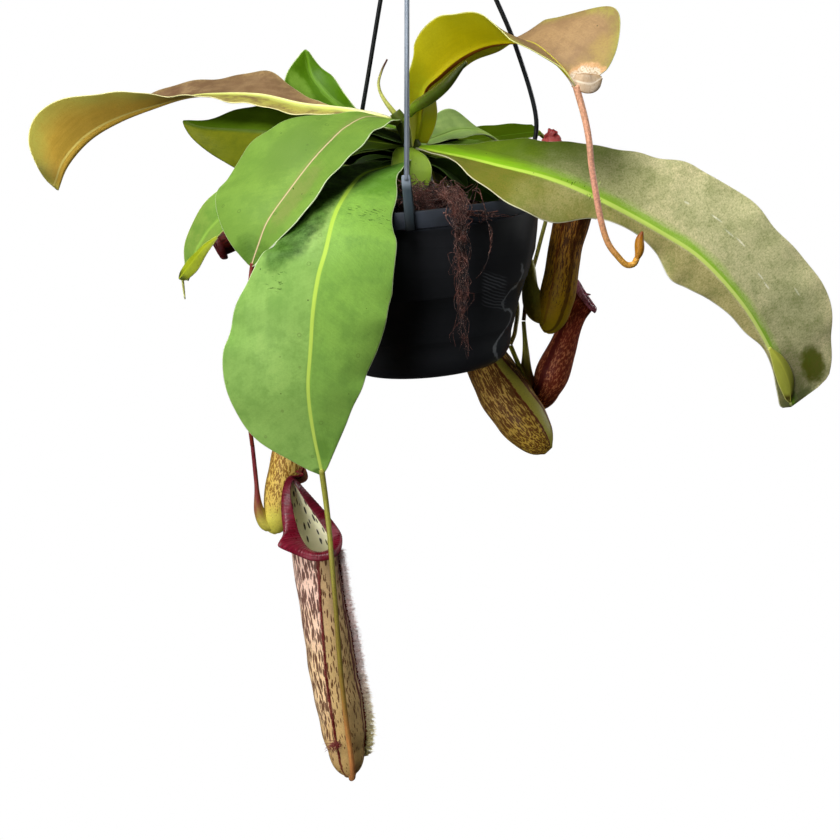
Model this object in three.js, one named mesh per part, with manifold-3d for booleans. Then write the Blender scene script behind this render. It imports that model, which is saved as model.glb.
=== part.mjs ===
// Hanging pitcher plant in a black nursery pot, in millimetres, +Z up.
// The origin is where the hook's inside rests on its support.
import * as THREE from "three";
import { mergeVertices } from "three/addons/utils/BufferGeometryUtils.js";
import Module from "manifold-3d";

const wasm = await Module();
wasm.setup();

// Shared sizes
const GAP = 0.35;
const BLADE_THICK = 0.9;
const RIB_DEEP = 1.5;
const TENDRIL_SIDES = 6;
const POT_SIDES = 32;
const PITCHER_WALL = 1.4;
const PITCHER_RINGS = 10;
const WING_HEIGHT = 4;

// Pot: swung a little on its strands, so its rim is lower on the left
const POT_CENTRE = [4, 0, -275];
const POT_TILT = 5.3;
const POT_PROFILE = [
  [0, -118], [44, -118], [54, -115], [59, -108], [61, -98], [68.5, -75], [82, -41], [86.5, -11],
  [90, -11], [90.5, 0], [87, 0], [84, -11], [79.5, -41], [66, -75], [58.5, -98],
  [55.5, -109], [43, -114.5], [0, -114.5],
];
const SOIL_PROFILE = [
  [0, -114.1], [42.7, -114.1], [55.1, -108.7], [58, -98], [65.5, -75], [79, -41],
  [83.2, -14], [81, -10], [50, -7.5], [0, -6],
];

// Hanger: a hook, its hub and three strands clipped to the rim
const RIM_RADIUS = 90.5;
const CLIP_OUTLINE = [
  [4.5, -12], [4.5, 20], [2.5, 23], [-1, 23], [-3, 20], [-8.5, 4], [-8.5, -4], [-6, -4],
  [-4.4, GAP], [GAP, GAP],
];
const HOOK_POINTS = [
  [-13, 0, -19], [-14, 0, -12], [-9.9, 0, -2.1], [0, 0, 2], [9.9, 0, -2.1], [14, 0, -12],
  [10, 0, -23], [3, 0, -31], [0, 0, -40], [0, 0, -52],
];
const HUB_POINTS = [[0, 0, -50], [0, 0, -54], [0, 0, -58]];
const HUB_RADII = [5, 6, 5];
const STRANDS = {
  strand_front: {
    azimuth: -92.7,
    points: [[0, -2, -57], [0, -33, -120], [0, -62, -186], [0, -92.5, -256]],
  },
  strand_right: {
    azimuth: 22,
    points: [[2, 1, -57], [38, 10, -98], [59, 15, -139], [76, 22, -175], [91, 32, -220], [88, 35, -250]],
  },
  strand_left: {
    azimuth: 121,
    points: [[-1, 2, -57], [-17, 30, -130], [-31, 56, -200], [-43, 79, -258]],
  },
};

// Young shoots and buds
const SHOOTS = {
  shoot_left: {
    color: 0xa8a84a,
    points: [[-8, 0, -214], [-16, 2, -208], [-20, 2, -198], [-18, 2, -189], [-14, 2, -181]],
    radii: [2.4, 2.2, 1.6, 1.1, 0.8],
  },
  shoot_right: {
    color: 0x4a6a28,
    points: [
      [-1, -5, -221], [4, -23, -213], [15, -34, -206], [25, -44, -198], [33, -50, -189],
      [38, -54, -184],
    ],
    radii: [2.2, 3, 4, 4, 3, 1],
  },
  bud_tendril: {
    color: 0xb8862e,
    points: [[145.1, -105, -295.5], [146.5, -105, -290], [147.5, -104.5, -284], [147, -104, -278]],
    radii: [1.6, 3.4, 2.6, 0.7],
  },
  bud_back: {
    color: 0x8a3a34,
    points: [[110, 89.5, -262], [110, 89.5, -250], [109, 89.5, -238], [109, 88.5, -230]],
    radii: [3, 6, 7, 6],
  },
};

// Roots that have grown over the rim and hang down the pot
const ROOTS = [
  {
    points: [
      [20, -14, -280], [24, -50, -272], [30, -78, -264], [35, -96, -270], [36, -97, -292],
      [37, -96, -322], [38, -92, -352], [42, -88, -378],
    ],
    radii: [3, 4, 5, 4.5, 3.5, 3.5, 2.5, 0.8],
  },
  {
    points: [
      [26, -20, -279], [31, -56, -270], [36, -80, -263], [40, -96, -271], [39, -99, -296],
      [41, -97, -326], [36, -94, -350], [34, -90, -366],
    ],
    radii: [2, 3, 4, 3.5, 3, 2.5, 2, 0.7],
  },
  {
    points: [
      [14, -18, -280], [18, -52, -273], [24, -80, -265], [29, -97, -271], [33, -99, -290],
      [34, -98, -316], [39, -96, -340], [46, -92, -362],
    ],
    radii: [2, 3, 3.5, 3, 2.5, 2, 1.5, 0.7],
  },
  {
    points: [
      [40, -60, -272], [44, -76, -263], [47, -92, -267], [51, -93, -280], [53, -92, -296],
      [49, -94, -310], [43, -94, -318],
    ],
    radii: [1.2, 1.2, 1, 0.9, 0.9, 0.8, 0.7],
  },
];

// Colours
const BLACK = 0x1b1c1e;
const SOIL = 0x3a2a22;
const ROOT = 0x6e3b2c;
const STEM = 0x8f9a45;

const group = new THREE.Group();

function vec(p) {
  return new THREE.Vector3(p[0], p[1], p[2]);
}

// A named part of one colour
function place(name, geometry, color, roughness = 0.6) {
  const material = new THREE.MeshStandardMaterial({ color, roughness, metalness: 0 });
  const mesh = new THREE.Mesh(geometry, material);
  mesh.name = name;
  group.add(mesh);
}

// Joining and cutting solids
function toSolid(geometry) {
  const bare = geometry.clone();
  bare.deleteAttribute("normal");
  bare.deleteAttribute("uv");
  const merged = mergeVertices(bare, 1e-4);
  const mesh = new wasm.Mesh({
    numProp: 3,
    vertProperties: Float32Array.from(merged.attributes.position.array),
    triVerts: Uint32Array.from(merged.index.array),
  });
  return new wasm.Manifold(mesh);
}

function toGeometry(solid) {
  const mesh = solid.getMesh();
  const geometry = new THREE.BufferGeometry();
  geometry.setAttribute("position", new THREE.BufferAttribute(mesh.vertProperties, 3));
  geometry.setIndex(new THREE.BufferAttribute(mesh.triVerts, 1));
  return geometry;
}

function largest(solid) {
  const pieces = solid.decompose();
  return pieces.reduce((best, piece) => (piece.volume() > best.volume() ? piece : best));
}

// A closed surface from its points and triangles, turned to face outwards
function closedSurface(points, triangles) {
  let volume = 0;
  for (let i = 0; i < triangles.length; i += 3) {
    const [a, b, c] = [0, 1, 2].map((k) => points[triangles[i + k]]);
    volume += a.dot(b.clone().cross(c));
  }
  if (volume < 0) {
    for (let i = 0; i < triangles.length; i += 3) {
      [triangles[i], triangles[i + 1]] = [triangles[i + 1], triangles[i]];
    }
  }
  const geometry = new THREE.BufferGeometry();
  const flat = points.flatMap((p) => [p.x, p.y, p.z]);
  geometry.setAttribute("position", new THREE.Float32BufferAttribute(flat, 3));
  geometry.setIndex(triangles);
  return geometry;
}

// A skin through rings of equal point counts, capped at both ends or closed into a loop
function loft(rings, loop = false) {
  const count = rings[0].length;
  const points = rings.flat();
  const triangles = [];
  const last = loop ? rings.length : rings.length - 1;
  for (let i = 0; i < last; i += 1) {
    const low = i * count;
    const high = ((i + 1) % rings.length) * count;
    for (let k = 0; k < count; k += 1) {
      const next = (k + 1) % count;
      triangles.push(low + k, low + next, high + k);
      triangles.push(low + next, high + next, high + k);
    }
  }
  if (!loop) {
    for (const [start, flip] of [[0, true], [(rings.length - 1) * count, false]]) {
      const centre = new THREE.Vector3();
      for (let k = 0; k < count; k += 1) {
        centre.add(points[start + k]);
      }
      points.push(centre.divideScalar(count));
      for (let k = 0; k < count; k += 1) {
        const pair = [start + k, start + ((k + 1) % count)];
        if (flip) {
          pair.reverse();
        }
        triangles.push(pair[0], pair[1], points.length - 1);
      }
    }
  }
  return closedSurface(points, triangles);
}

// Smooth values between evenly spaced stations
function along(values, t) {
  const x = Math.min(Math.max(t, 0), 1) * (values.length - 1);
  const i = Math.min(Math.floor(x), values.length - 2);
  const f = x - i;
  const b = values[i];
  const c = values[i + 1];
  const a = i > 0 ? values[i - 1] : 2 * b - c;
  const d = i + 2 < values.length ? values[i + 2] : 2 * c - b;
  return b + 0.5 * f * (c - a + f * (2 * a - 5 * b + 4 * c - d + f * (3 * (b - c) + d - a)));
}

function curveThrough(points) {
  return new THREE.CatmullRomCurve3(points.map(vec), false, "catmullrom", 0.5);
}

// The frame at a share t of a curve: place, way along, upper side and right hand
function frameAt(curve, t, up) {
  const place = curve.getPointAt(t);
  const ahead = curve.getPointAt(Math.min(t + 0.01, 1));
  const behind = curve.getPointAt(Math.max(t - 0.01, 0));
  const way = ahead.sub(behind).normalize();
  const hint = vec([0, 1, 2].map((k) => along(up.map((v) => v[k]), t)));
  const side = way.clone().cross(hint).normalize();
  const top = side.clone().cross(way);
  return { place, way, top, side };
}

// A round tapering tube along a curve
function tube(points, radii, steps, sides = TENDRIL_SIDES) {
  const curve = curveThrough(points);
  const rings = [];
  const { normals, binormals } = curve.computeFrenetFrames(steps, false);
  for (let i = 0; i <= steps; i += 1) {
    const centre = curve.getPointAt(i / steps);
    const radius = along(radii, i / steps);
    const ring = [];
    for (let k = 0; k < sides; k += 1) {
      const angle = (2 * Math.PI * k) / sides;
      const out = normals[i].clone().multiplyScalar(Math.cos(angle));
      out.addScaledVector(binormals[i], Math.sin(angle));
      ring.push(centre.clone().addScaledVector(out, radius));
    }
    rings.push(ring);
  }
  return loft(rings);
}

// How far a point of half a blade lies sideways and upwards: it leaves the rib at the
// fold angle and turns by the curl on its way to the edge
function halfSection(width, share, fold, curl) {
  const start = THREE.MathUtils.degToRad(fold);
  const turn = THREE.MathUtils.degToRad(curl);
  if (Math.abs(turn) < 1e-3) {
    return [width * share * Math.cos(start), width * share * Math.sin(start), start];
  }
  const end = start + turn * share;
  const reach = width / turn;
  return [reach * (Math.sin(end) - Math.sin(start)), reach * (Math.cos(start) - Math.cos(end)), end];
}

// A leaf: the blade with its rib, then its tendril
function leafSolid(leaf) {
  const curve = curveThrough(leaf.spine);
  const rows = leaf.rows ?? 18;
  const shares = leaf.shares ?? [1, 0.62, 0.2];
  const thick = leaf.thick ?? BLADE_THICK;
  const rib = leaf.rib ?? [RIB_DEEP + 1, RIB_DEEP, RIB_DEEP * 0.7];
  const rings = [];
  const stations = [
    ...shares.map((share) => [-1, share]),
    [0, 0],
    ...[...shares].reverse().map((share) => [1, share]),
  ];
  for (let i = 0; i <= rows; i += 1) {
    const t = i / rows;
    const { place, top, side } = frameAt(curve, t, leaf.up);
    const upper = [];
    const lower = [];
    for (const [sign, share] of stations) {
      const half = sign < 0 ? "left" : "right";
      const fold = along(leaf[`${half}Fold`] ?? leaf.fold, t);
      const curl = along(leaf[`${half}Curl`] ?? leaf.curl, t);
      const width = Math.max(along(leaf[half], t), 1.2);
      const [out, rise, angle] = halfSection(width, share, fold, curl);
      const centre = place.clone().addScaledVector(side, sign * out);
      centre.addScaledVector(top, rise);
      const normal = top.clone().multiplyScalar(Math.cos(angle));
      normal.addScaledVector(side, -sign * Math.sin(angle));
      const deep = share === 0 ? along(rib, t) : share < 0.3 ? thick * 0.7 : thick * 0.5;
      upper.push(centre.clone().addScaledVector(normal, share === 0 ? 0.5 : thick * 0.5));
      lower.push(centre.clone().addScaledVector(normal, -deep));
    }
    rings.push([...upper, ...lower.reverse()]);
  }
  let solid = toSolid(loft(rings));
  if (leaf.tendril) {
    const tendril = tube(leaf.tendril, leaf.tendrilRadius ?? [1.5, 1.3, 1.3], leaf.tendrilSteps ?? 8);
    solid = solid.add(toSolid(tendril));
  }
  return solid;
}

// Stem, rising from the soil with the leaf bases round it
const STEM_POINTS = [[16, 5, -292], [13, 3, -272], [6, 0, -245], [-5, 0, -222], [-9, 0, -216]];
const STEM_RADII = [7.5, 7, 6.5, 5.5, 4];

// Leaves: the spine runs from the stem to the tip, up names the side the blade's upper face
// looks to, left and right are half widths, and the folds and curls bend each half
const LEAVES = {
  leaf_front_large: {
    color: 0x6f9a45,
    spine: [
      [4, -4, -249], [-15, -28, -252], [-30, -52, -256], [-39, -82, -266], [-45, -104, -278],
      [-49, -124, -296], [-53, -132, -310], [-56, -138, -329], [-58, -140, -353],
      [-60, -140, -378], [-58, -137, -404], [-53, -133, -435],
    ],
    up: [[0, 0, 1], [0, -0.3, 1], [0, -0.8, 0.7], [0, -1, 0.2], [0, -1, 0], [0, -1, -0.1]],
    left: [6, 20, 29, 36, 44.5, 46, 38, 24, 1.5],
    right: [6, 12, 20, 28, 36, 48, 55, 44, 3],
    fold: [25, 8, 0, 0],
    curl: [0, -20, -25, -10],
    rows: 18,
    tendril: [
      [-53.5, -133, -431], [-51, -132, -455], [-49, -136, -474], [-47, -142, -497],
      [-45, -144, -528], [-43, -145, -563], [-40, -144, -600], [-37, -143, -629],
      [-36.5, -138, -644], [-38, -131.4, -650],
    ],
    tendrilRadius: [1.8, 1.5, 1.6, 1.8],
    tendrilSteps: 13,
  },
  leaf_front_left: {
    color: 0x7aa352,
    spine: [
      [-6, -1, -223], [-26, -23, -219], [-40, -40, -225], [-50, -56, -234], [-61, -71, -246],
      [-74, -87, -263], [-86, -99.5, -280], [-92, -105, -295], [-96, -110, -307],
    ],
    up: [[0.2, -0.2, 1], [0, -0.7, 1], [-0.3, -0.8, 0.6], [-0.4, -0.9, 0.2]],
    left: [3, 14, 22, 20, 19, 17, 14, 10, 1.5],
    right: [3, 8, 26, 40, 48, 51.4, 50, 34, 2],
    leftFold: [20, 14, 15],
    rightFold: [20, 5, 0],
    leftCurl: [0, 0],
    rightCurl: [0, -25, -15],
    rows: 14,
    tendril: [
      [-95.5, -109.5, -305], [-98, -108, -322], [-103, -96, -355], [-107, -76, -400],
      [-106.5, -62, -436],
    ],
    tendrilRadius: [1.4, 1.4],
  },
  leaf_far_left: {
    color: 0x9a8038,
    spine: [
      [-8, 2, -221], [-44, 25, -214], [-76, 42, -211], [-107, 54, -205], [-137, 62, -204],
      [-163, 66, -206], [-187, 66, -213], [-213, 62, -223], [-235, 58, -236],
      [-251, 52, -254], [-258, 45, -272],
    ],
    up: [[0, 0, 1], [0, 0, 1]],
    left: [3, 12, 20, 26, 28, 28, 27, 29, 36, 43, 4],
    right: [3, 12, 20, 26, 32, 34, 32, 32, 28, 18, 2],
    leftFold: [0, -15, -15, -15, -12, -6, 6, 35, 62, 85, 88],
    rightFold: [20, 24, 24, 24, 30, 22, 20, 15, 10, 5, 0],
    curl: [0, 0],
    rows: 18,
  },
  leaf_upper_right: {
    color: 0x97912a,
    spine: [
      [4, -1, -236], [8, -8, -218], [12, -12, -201], [22, -18, -192], [36, -26, -181],
      [51, -38, -174], [66, -52, -172], [78, -66, -173], [88, -80, -181], [97, -92, -191],
      [103, -101, -201],
    ],
    up: [[-1, 0, 0.3], [-1, 0, 0.4], [-0.6, 0, 0.8], [0, 0, 1], [0, 0, 1], [0.5, 0, 0.8], [0.8, 0, 0.5]],
    left: [5, 8, 14, 26, 30, 32, 32, 36, 42, 42, 20],
    right: [5, 6, 10, 28, 31, 32, 30, 27, 22, 14, 4],
    leftFold: [0, 0, -10, -12, -12, -12, -5, 12, 48, 76, 85],
    rightFold: [0, 30, 70, 80, 72, 44, 20, 3, -10, -10, 0],
    curl: [0, 0],
    rows: 18,
    tendril: [
      [102.5, -101, -199], [108, -103, -217], [111, -105, -231], [113, -105, -246],
      [116, -105, -261], [120, -105, -279], [125, -105, -293], [132, -105, -302],
      [138, -105, -305], [143, -105, -302], [145, -105, -296],
    ],
    tendrilRadius: [2.1, 1.9, 1.9, 1.8],
    tendrilSteps: 13,
  },
  leaf_right_large: {
    color: 0x6e7a42,
    spine: [
      [6, -4, -240], [23, -18, -243], [42, -33, -246], [61, -46, -250], [81, -57, -254],
      [99, -65, -259], [117, -71, -266], [136, -75, -275], [162, -78, -289],
      [189, -78, -306], [216, -76, -333], [235, -72, -359], [249, -67, -384], [259, -61, -404],
    ],
    up: [[0, -0.3, 1], [0, -0.65, 0.9], [0.1, -0.95, 0.6], [0.1, -1, 0.4], [0.1, -1, 0.25]],
    left: [4, 8, 18, 28, 36, 45, 51, 54, 55, 52, 42, 14],
    right: [4, 14, 32, 33, 25, 21, 24, 20, 14, 9, 3],
    leftFold: [20, 0, 0, 0],
    rightFold: [20, 16, 12, -2, -28, -35, -20, -20, -30, -30, 0],
    curl: [0, 0],
    rows: 20,
  },
  leaf_back_left: {
    color: 0x6fa03a,
    shares: [1, 0.5],
    spine: [
      [-3, 2, -229], [-23, 33, -224], [-43.5, 58, -217.5], [-60, 75, -206], [-73, 88, -191],
      [-78, 94, -172],
    ],
    up: [[0, -0.4, 1], [0, -1, 0.6], [0.4, -1, 0.3]],
    left: [3, 4, 16, 26, 22, 2],
    right: [3, 3, 4.5, 20, 14, 2],
    fold: [20, 15, 10],
    curl: [0, 0],
    rows: 12,
  },
  leaf_mid_left: {
    color: 0x4f6a2c,
    shares: [1, 0.5],
    spine: [
      [0, 1, -240], [-44, 14, -234], [-82, 26, -231], [-117, 34, -229], [-148, 40, -227],
      [-163, 45, -223],
    ],
    up: [[0, 0, 1], [0, 0, 1]],
    left: [3, 16, 28, 30, 20, 1.5],
    right: [3, 16, 28, 30, 16, 1.5],
    leftFold: [0, -40, -65, -70, -70, -60],
    rightFold: [20, 30, 38, 34, 30, 20],
    curl: [0, 0],
    rows: 12,
  },
  leaf_low_left: {
    color: 0x76a04a,
    shares: [1, 0.5],
    spine: [
      [5, -2, -256], [-46, -22, -262], [-93, -32, -272], [-123, -36, -283], [-141, -38, -303],
      [-150, -40, -326],
    ],
    up: [[0, -0.2, 1], [0, -0.6, 1], [-0.6, -0.8, 0.4]],
    left: [3, 12, 18, 18, 10, 1.5],
    right: [3, 14, 22, 24, 16, 1.5],
    fold: [20, 10, 0],
    curl: [0, 0],
    rows: 14,
  },
  leaf_back_right: {
    color: 0x5d8034,
    shares: [1, 0.5],
    spine: [[6, 3, -243], [30, 45, -240], [61, 75, -236], [100, 98, -232]],
    up: [[0, -0.2, 1], [0, -0.6, 1], [0, -0.6, 1]],
    left: [3, 14, 18, 10],
    right: [3, 12, 14, 6],
    fold: [20, 15, 10],
    curl: [0, 0],
    rows: 10,
    tendril: [
      [99, 97.5, -232], [108, 102, -244], [110, 98, -280], [101, 88, -318], [92, 78, -350],
      [89, 74.5, -374.5],
    ],
    tendrilRadius: [1.5, 1.5],
  },
  leaf_inner_right: {
    color: 0x5f8b4c,
    shares: [1, 0.5],
    spine: [[6, 2, -238], [22, 20, -233], [38, 34, -229], [54, 46, -231], [70, 54, -240]],
    up: [[0, -0.2, 1], [0, 0, 1], [0, 0, 1]],
    left: [3, 20, 26, 18, 1.5],
    right: [3, 12, 14, 12, 1.5],
    leftFold: [40, 55, 50],
    rightFold: [0, -20, -30],
    curl: [0, 0],
    rows: 10,
    tendril: [[69.5, 54, -239.5], [80, 60, -252], [88, 58, -280], [87, 54, -304], [88, 52, -316]],
    tendrilRadius: [1.5, 1.5],
  },
  leaf_front_small: {
    color: 0x8fb04a,
    shares: [1, 0.5],
    spine: [[-1, -4, -238], [6, -22, -236], [11.5, -30, -246], [11, -35, -264]],
    up: [[0, 0, 1], [0, -0.5, 1], [0, -1, 0.3]],
    left: [3, 3, 5, 1.5],
    right: [3, 6, 10, 1.5],
    fold: [10, 5, 0],
    curl: [0, -15, -10],
    rows: 8,
  },
  leaf_back_low: {
    color: 0x5d8034,
    shares: [1, 0.5],
    spine: [[11, 4, -255], [14, 50, -252], [18, 92, -262], [24, 118, -288]],
    up: [[0, 0, 1], [0, 0, 1], [0, 0.6, 0.8]],
    left: [3, 20, 24, 14, 1.5],
    right: [3, 20, 24, 14, 1.5],
    fold: [20, 10, 5],
    curl: [0, -15],
    rows: 10,
    tendril: [
      [23.5, 117, -286], [40, 122, -302], [66, 114, -330], [84, 94, -360], [83, 78, -382],
      [79, 71.5, -392.5],
    ],
    tendrilRadius: [1.6, 1.6],
  },
  leaf_low_back_left: {
    color: 0x4f6a2c,
    shares: [1, 0.5],
    spine: [[4, 3, -258], [-28, 36, -254], [-58, 54, -260], [-80, 56, -270]],
    up: [[0, 0, 1], [0, 0, 1]],
    left: [3, 14, 16, 1.5],
    right: [3, 16, 18, 1.5],
    fold: [20, 10],
    curl: [0, 0],
    rows: 8,
    tendril: [[-79, 56, -269], [-86, 48, -274], [-88, 36, -272], [-87, 26, -270]],
    tendrilRadius: [1.4, 1.4],
    tendrilSteps: 6,
  },
  leaf_low_right: {
    color: 0x33501f,
    shares: [1, 0.5],
    spine: [[8, -2, -252], [26, -8, -255], [44, -14, -264], [62, -18, -274]],
    up: [[0, -0.2, 1], [0, -0.8, 1], [0, -0.8, 0.8]],
    left: [3, 10, 12, 1.5],
    right: [3, 12, 14, 1.5],
    fold: [20, 10, 0],
    curl: [0, 0],
    rows: 8,
  },
};

// Pitchers: the spine runs from the base to the front of the mouth, front names the side with
// the wings, and the neck is how far and where the mouth is drawn up at the back
const PITCHERS = {
  pitcher_front: {
    color: 0xb9a070,
    lip: 0x6b1420,
    spine: [
      [-39, -127, -650], [-41, -126, -634], [-45, -124, -604], [-50, -122, -575],
      [-53, -121, -546], [-56, -120, -518], [-58, -120, -489],
    ],
    radii: [2.5, 10.5, 13.5, 14.5, 15.3, 15.3, 15.5, 15.5],
    front: [0.34, -0.94, 0],
    neck: [-17, 1, 43],
    flare: [4.5, 9.5, 2.5],
    sides: 16,
    wings: [-25, 25],
    lid: [[-75, -97, -434], [-71, -94, -422]],
    lidUp: [0, 0.8, 0.5],
    lidHalf: [2, 8, 10, 7, 1],
  },
  pitcher_right_upper: {
    color: 0x9c8644,
    lip: 0x6b1a22,
    tail: [[88, 52, -317], [91, 47, -330], [91, 43, -346], [97, 41, -360], [106, 39, -362]],
    tailRadii: [1.8, 3.5, 6, 9, 9],
    spine: [
      [99, 40, -376], [106, 39, -371], [113, 38, -358], [118, 37, -337], [122, 37, -313],
      [126, 37, -287],
    ],
    radii: [4, 12, 16, 17, 16, 14.5, 13.5, 13.5],
    front: [1, -0.3, 0],
    neck: [2, 4, 22],
    flare: [4, 6, 2.5],
    sides: 12,
    lid: [[122, 41, -256], [134, 38, -257]],
    lidUp: [0, 0, 1],
    lidHalf: [2, 9, 12, 9, 1],
  },
  pitcher_right_lower: {
    color: 0x7a4230,
    lip: 0x7a2430,
    tail: [[89, 74.4, -375.3], [91, 73, -398], [92, 72, -418], [96, 71, -430], [102, 70, -430]],
    tailRadii: [1.6, 2, 3.5, 6, 8],
    spine: [
      [96, 70, -441], [103, 69, -435], [109, 68, -423], [115, 67, -406], [122, 68, -387],
      [130, 70, -372], [134, 71, -362],
    ],
    radii: [3, 10, 13, 13, 11, 9, 8.3, 8.5],
    front: [0.7, -0.5, -0.3],
    neck: [0, 3, 11],
    flare: [3, 4.5, 2],
    sides: 12,
    lid: [[136, 78, -340], [144, 73, -341]],
    lidUp: [0, 0, 1],
    lidHalf: [1.5, 6, 7, 5, 1],
  },
  pitcher_back: {
    color: 0x9a8038,
    lip: 0x6b2a20,
    tail: [[79, 71, -394], [92, 56, -412], [105, 42, -432], [109, 32, -448], [102, 30, -454]],
    tailRadii: [1.8, 2.2, 3, 5, 8],
    spine: [
      [106, 26, -466], [98, 30, -458], [86, 38, -444], [74, 52, -428], [64, 70, -412],
      [55, 90, -398], [50, 104, -386],
    ],
    radii: [4, 14, 19, 20, 19, 17, 16, 16],
    front: [0.6, 0.4, 0.6],
    neck: [-10, 8, 16],
    flare: [4, 6, 2.5],
    sides: 12,
    lid: [[40, 124, -349], [50, 134, -352]],
    lidUp: [-0.3, 0.2, 1],
    lidHalf: [2, 8, 11, 8, 1],
  },
  pitcher_left: {
    color: 0xb89a3a,
    lip: 0x7a2a22,
    tail: [
      [-106.4, -61.6, -436.6], [-105, -60, -462], [-104, -58, -484], [-99, -56, -495],
      [-93, -54, -492],
    ],
    tailRadii: [1.4, 1.7, 2.4, 5, 7],
    spine: [
      [-96, -55, -502], [-93, -54, -495], [-90, -52, -480], [-86, -50, -460], [-82, -48, -440],
      [-79, -47, -424],
    ],
    radii: [3, 10, 12, 12, 11.5, 11],
    front: [-1, -0.3, 0],
    neck: [4, 3, 18],
    flare: [3.5, 5, 2],
    sides: 12,
    lid: [[-71, -44, -400], [-81, -46, -401]],
    lidUp: [0, 0, 1],
    lidHalf: [2, 7, 9, 7, 1],
  },
  pitcher_far_left: {
    color: 0x6a2a22,
    lip: 0x5a1a1c,
    tail: [[-87, 24.7, -271.1], [-90, 21, -274], [-96, 18, -279], [-103, 16, -285]],
    tailRadii: [1.6, 3, 5, 6],
    spine: [
      [-92, 20, -276], [-98, 18, -281], [-106, 15, -288], [-114, 12, -296], [-124, 8, -303],
      [-134, 5, -307],
    ],
    radii: [3, 6, 8, 8.5, 8.5, 8.5],
    front: [0, -0.4, -1],
    neck: [-5, 1, 6],
    flare: [3, 4, 2],
    sides: 12,
    lid: [[-147, 5, -292], [-154, 3, -299]],
    lidUp: [0, 0, 1],
    lidHalf: [1.5, 5, 7, 5, 1],
  },
};

// Where the mouth rises at the back, and how far up the pitcher that reaches
function mouthLift(pitcher, angle, share) {
  const back = ((1 - Math.cos(angle)) / 2) ** 1.4;
  return back * Math.max(share - 0.6, 0) / 0.4;
}

// One ring of a pitcher's wall at a share of its height
function pitcherRing(pitcher, curve, share, inset) {
  const { place, side, top } = frameAt(curve, share, [pitcher.front, pitcher.front]);
  const radius = Math.max(along(pitcher.radii, share) - inset, 0.8);
  const ring = [];
  for (let k = 0; k < pitcher.sides; k += 1) {
    const angle = (2 * Math.PI * k) / pitcher.sides;
    const lift = mouthLift(pitcher, angle, share);
    const point = place.clone().addScaledVector(top, radius * Math.cos(angle));
    point.addScaledVector(side, radius * Math.sin(angle) * (1 - 0.4 * lift));
    ring.push(point.addScaledVector(vec(pitcher.neck), lift));
  }
  return ring;
}

// A wing: a thin strip standing on the wall from below the mouth to the base
function wingSolid(pitcher, curve, degrees) {
  const angle = THREE.MathUtils.degToRad(degrees);
  const rings = [];
  for (let i = 0; i <= 12; i += 1) {
    const share = 0.94 - (0.78 * i) / 12;
    const { place, side, top } = frameAt(curve, share, [pitcher.front, pitcher.front]);
    const out = top.clone().multiplyScalar(Math.cos(angle)).addScaledVector(side, Math.sin(angle));
    const across = side.clone().multiplyScalar(Math.cos(angle)).addScaledVector(top, -Math.sin(angle));
    const radius = along(pitcher.radii, share);
    const height = WING_HEIGHT * Math.sin(Math.PI * (0.12 + (0.8 * i) / 12));
    rings.push([[-0.5, -0.6], [0.5, -0.6], [0.4, height], [-0.4, height]].map(([wide, high]) => {
      const point = place.clone().addScaledVector(out, radius + high);
      return point.addScaledVector(across, wide);
    }));
  }
  return toSolid(loft(rings));
}

// The hollow body of a pitcher
function pitcherSolid(pitcher) {
  const curve = curveThrough(pitcher.spine);
  const rings = [];
  for (let i = 0; i <= PITCHER_RINGS; i += 1) {
    rings.push(pitcherRing(pitcher, curve, i / PITCHER_RINGS, 0));
  }
  for (let i = PITCHER_RINGS; i >= 2; i -= 1) {
    rings.push(pitcherRing(pitcher, curve, i / PITCHER_RINGS, PITCHER_WALL));
  }
  let solid = toSolid(loft(rings));
  if (pitcher.tail) {
    const inside = toSolid(loft(rings.slice(PITCHER_RINGS + 1)));
    solid = solid.add(toSolid(tube(pitcher.tail, pitcher.tailRadii, 8, 6)).subtract(inside));
  }
  for (const degrees of pitcher.wings ?? []) {
    solid = solid.add(wingSolid(pitcher, curve, degrees));
  }
  return solid;
}

// The ribbed lip round a pitcher's mouth, standing just clear of the wall
function lipSolid(pitcher, grow = 0) {
  const curve = curveThrough(pitcher.spine);
  const { place, side, top, way } = frameAt(curve, 1, [pitcher.front, pitcher.front]);
  const radius = along(pitcher.radii, 1);
  const [frontFlare, cornerFlare, backFlare] = pitcher.flare;
  const rings = [];
  for (let k = 0; k < pitcher.sides; k += 1) {
    const angle = (2 * Math.PI * k) / pitcher.sides;
    const lift = mouthLift(pitcher, angle, 1);
    const corner = Math.exp(-(((Math.acos(Math.cos(angle)) - 1.35) / 0.4) ** 2));
    const flare = frontFlare + (backFlare - frontFlare) * lift + (cornerFlare - frontFlare) * corner;
    const centre = place.clone().addScaledVector(top, radius * Math.cos(angle));
    centre.addScaledVector(side, radius * Math.sin(angle) * (1 - 0.4 * lift));
    centre.addScaledVector(vec(pitcher.neck), lift);
    const out = top.clone().multiplyScalar(Math.cos(angle)).addScaledVector(side, Math.sin(angle));
    const section = [
      [-2.6 - grow, 1.1 - grow], [-2 - grow, 2.4 + grow], [0.25 * flare, 3 + grow],
      [0.8 * flare + grow, 1.8 + grow], [flare + grow, -1.4 - grow],
      [flare - 1.3 - grow, -1 - grow], [0.5 * flare - grow, 1.1 - grow],
    ];
    rings.push(section.map(([wide, high]) => {
      return centre.clone().addScaledVector(out, wide).addScaledVector(way, high);
    }));
  }
  return toSolid(loft(rings, true));
}

// The top of the neck, where the lid grows
function neckTop(pitcher) {
  const curve = curveThrough(pitcher.spine);
  const { place, top, way } = frameAt(curve, 1, [pitcher.front, pitcher.front]);
  place.addScaledVector(top, -along(pitcher.radii, 1)).addScaledVector(way, 2);
  return place.add(vec(pitcher.neck)).toArray();
}

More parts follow.
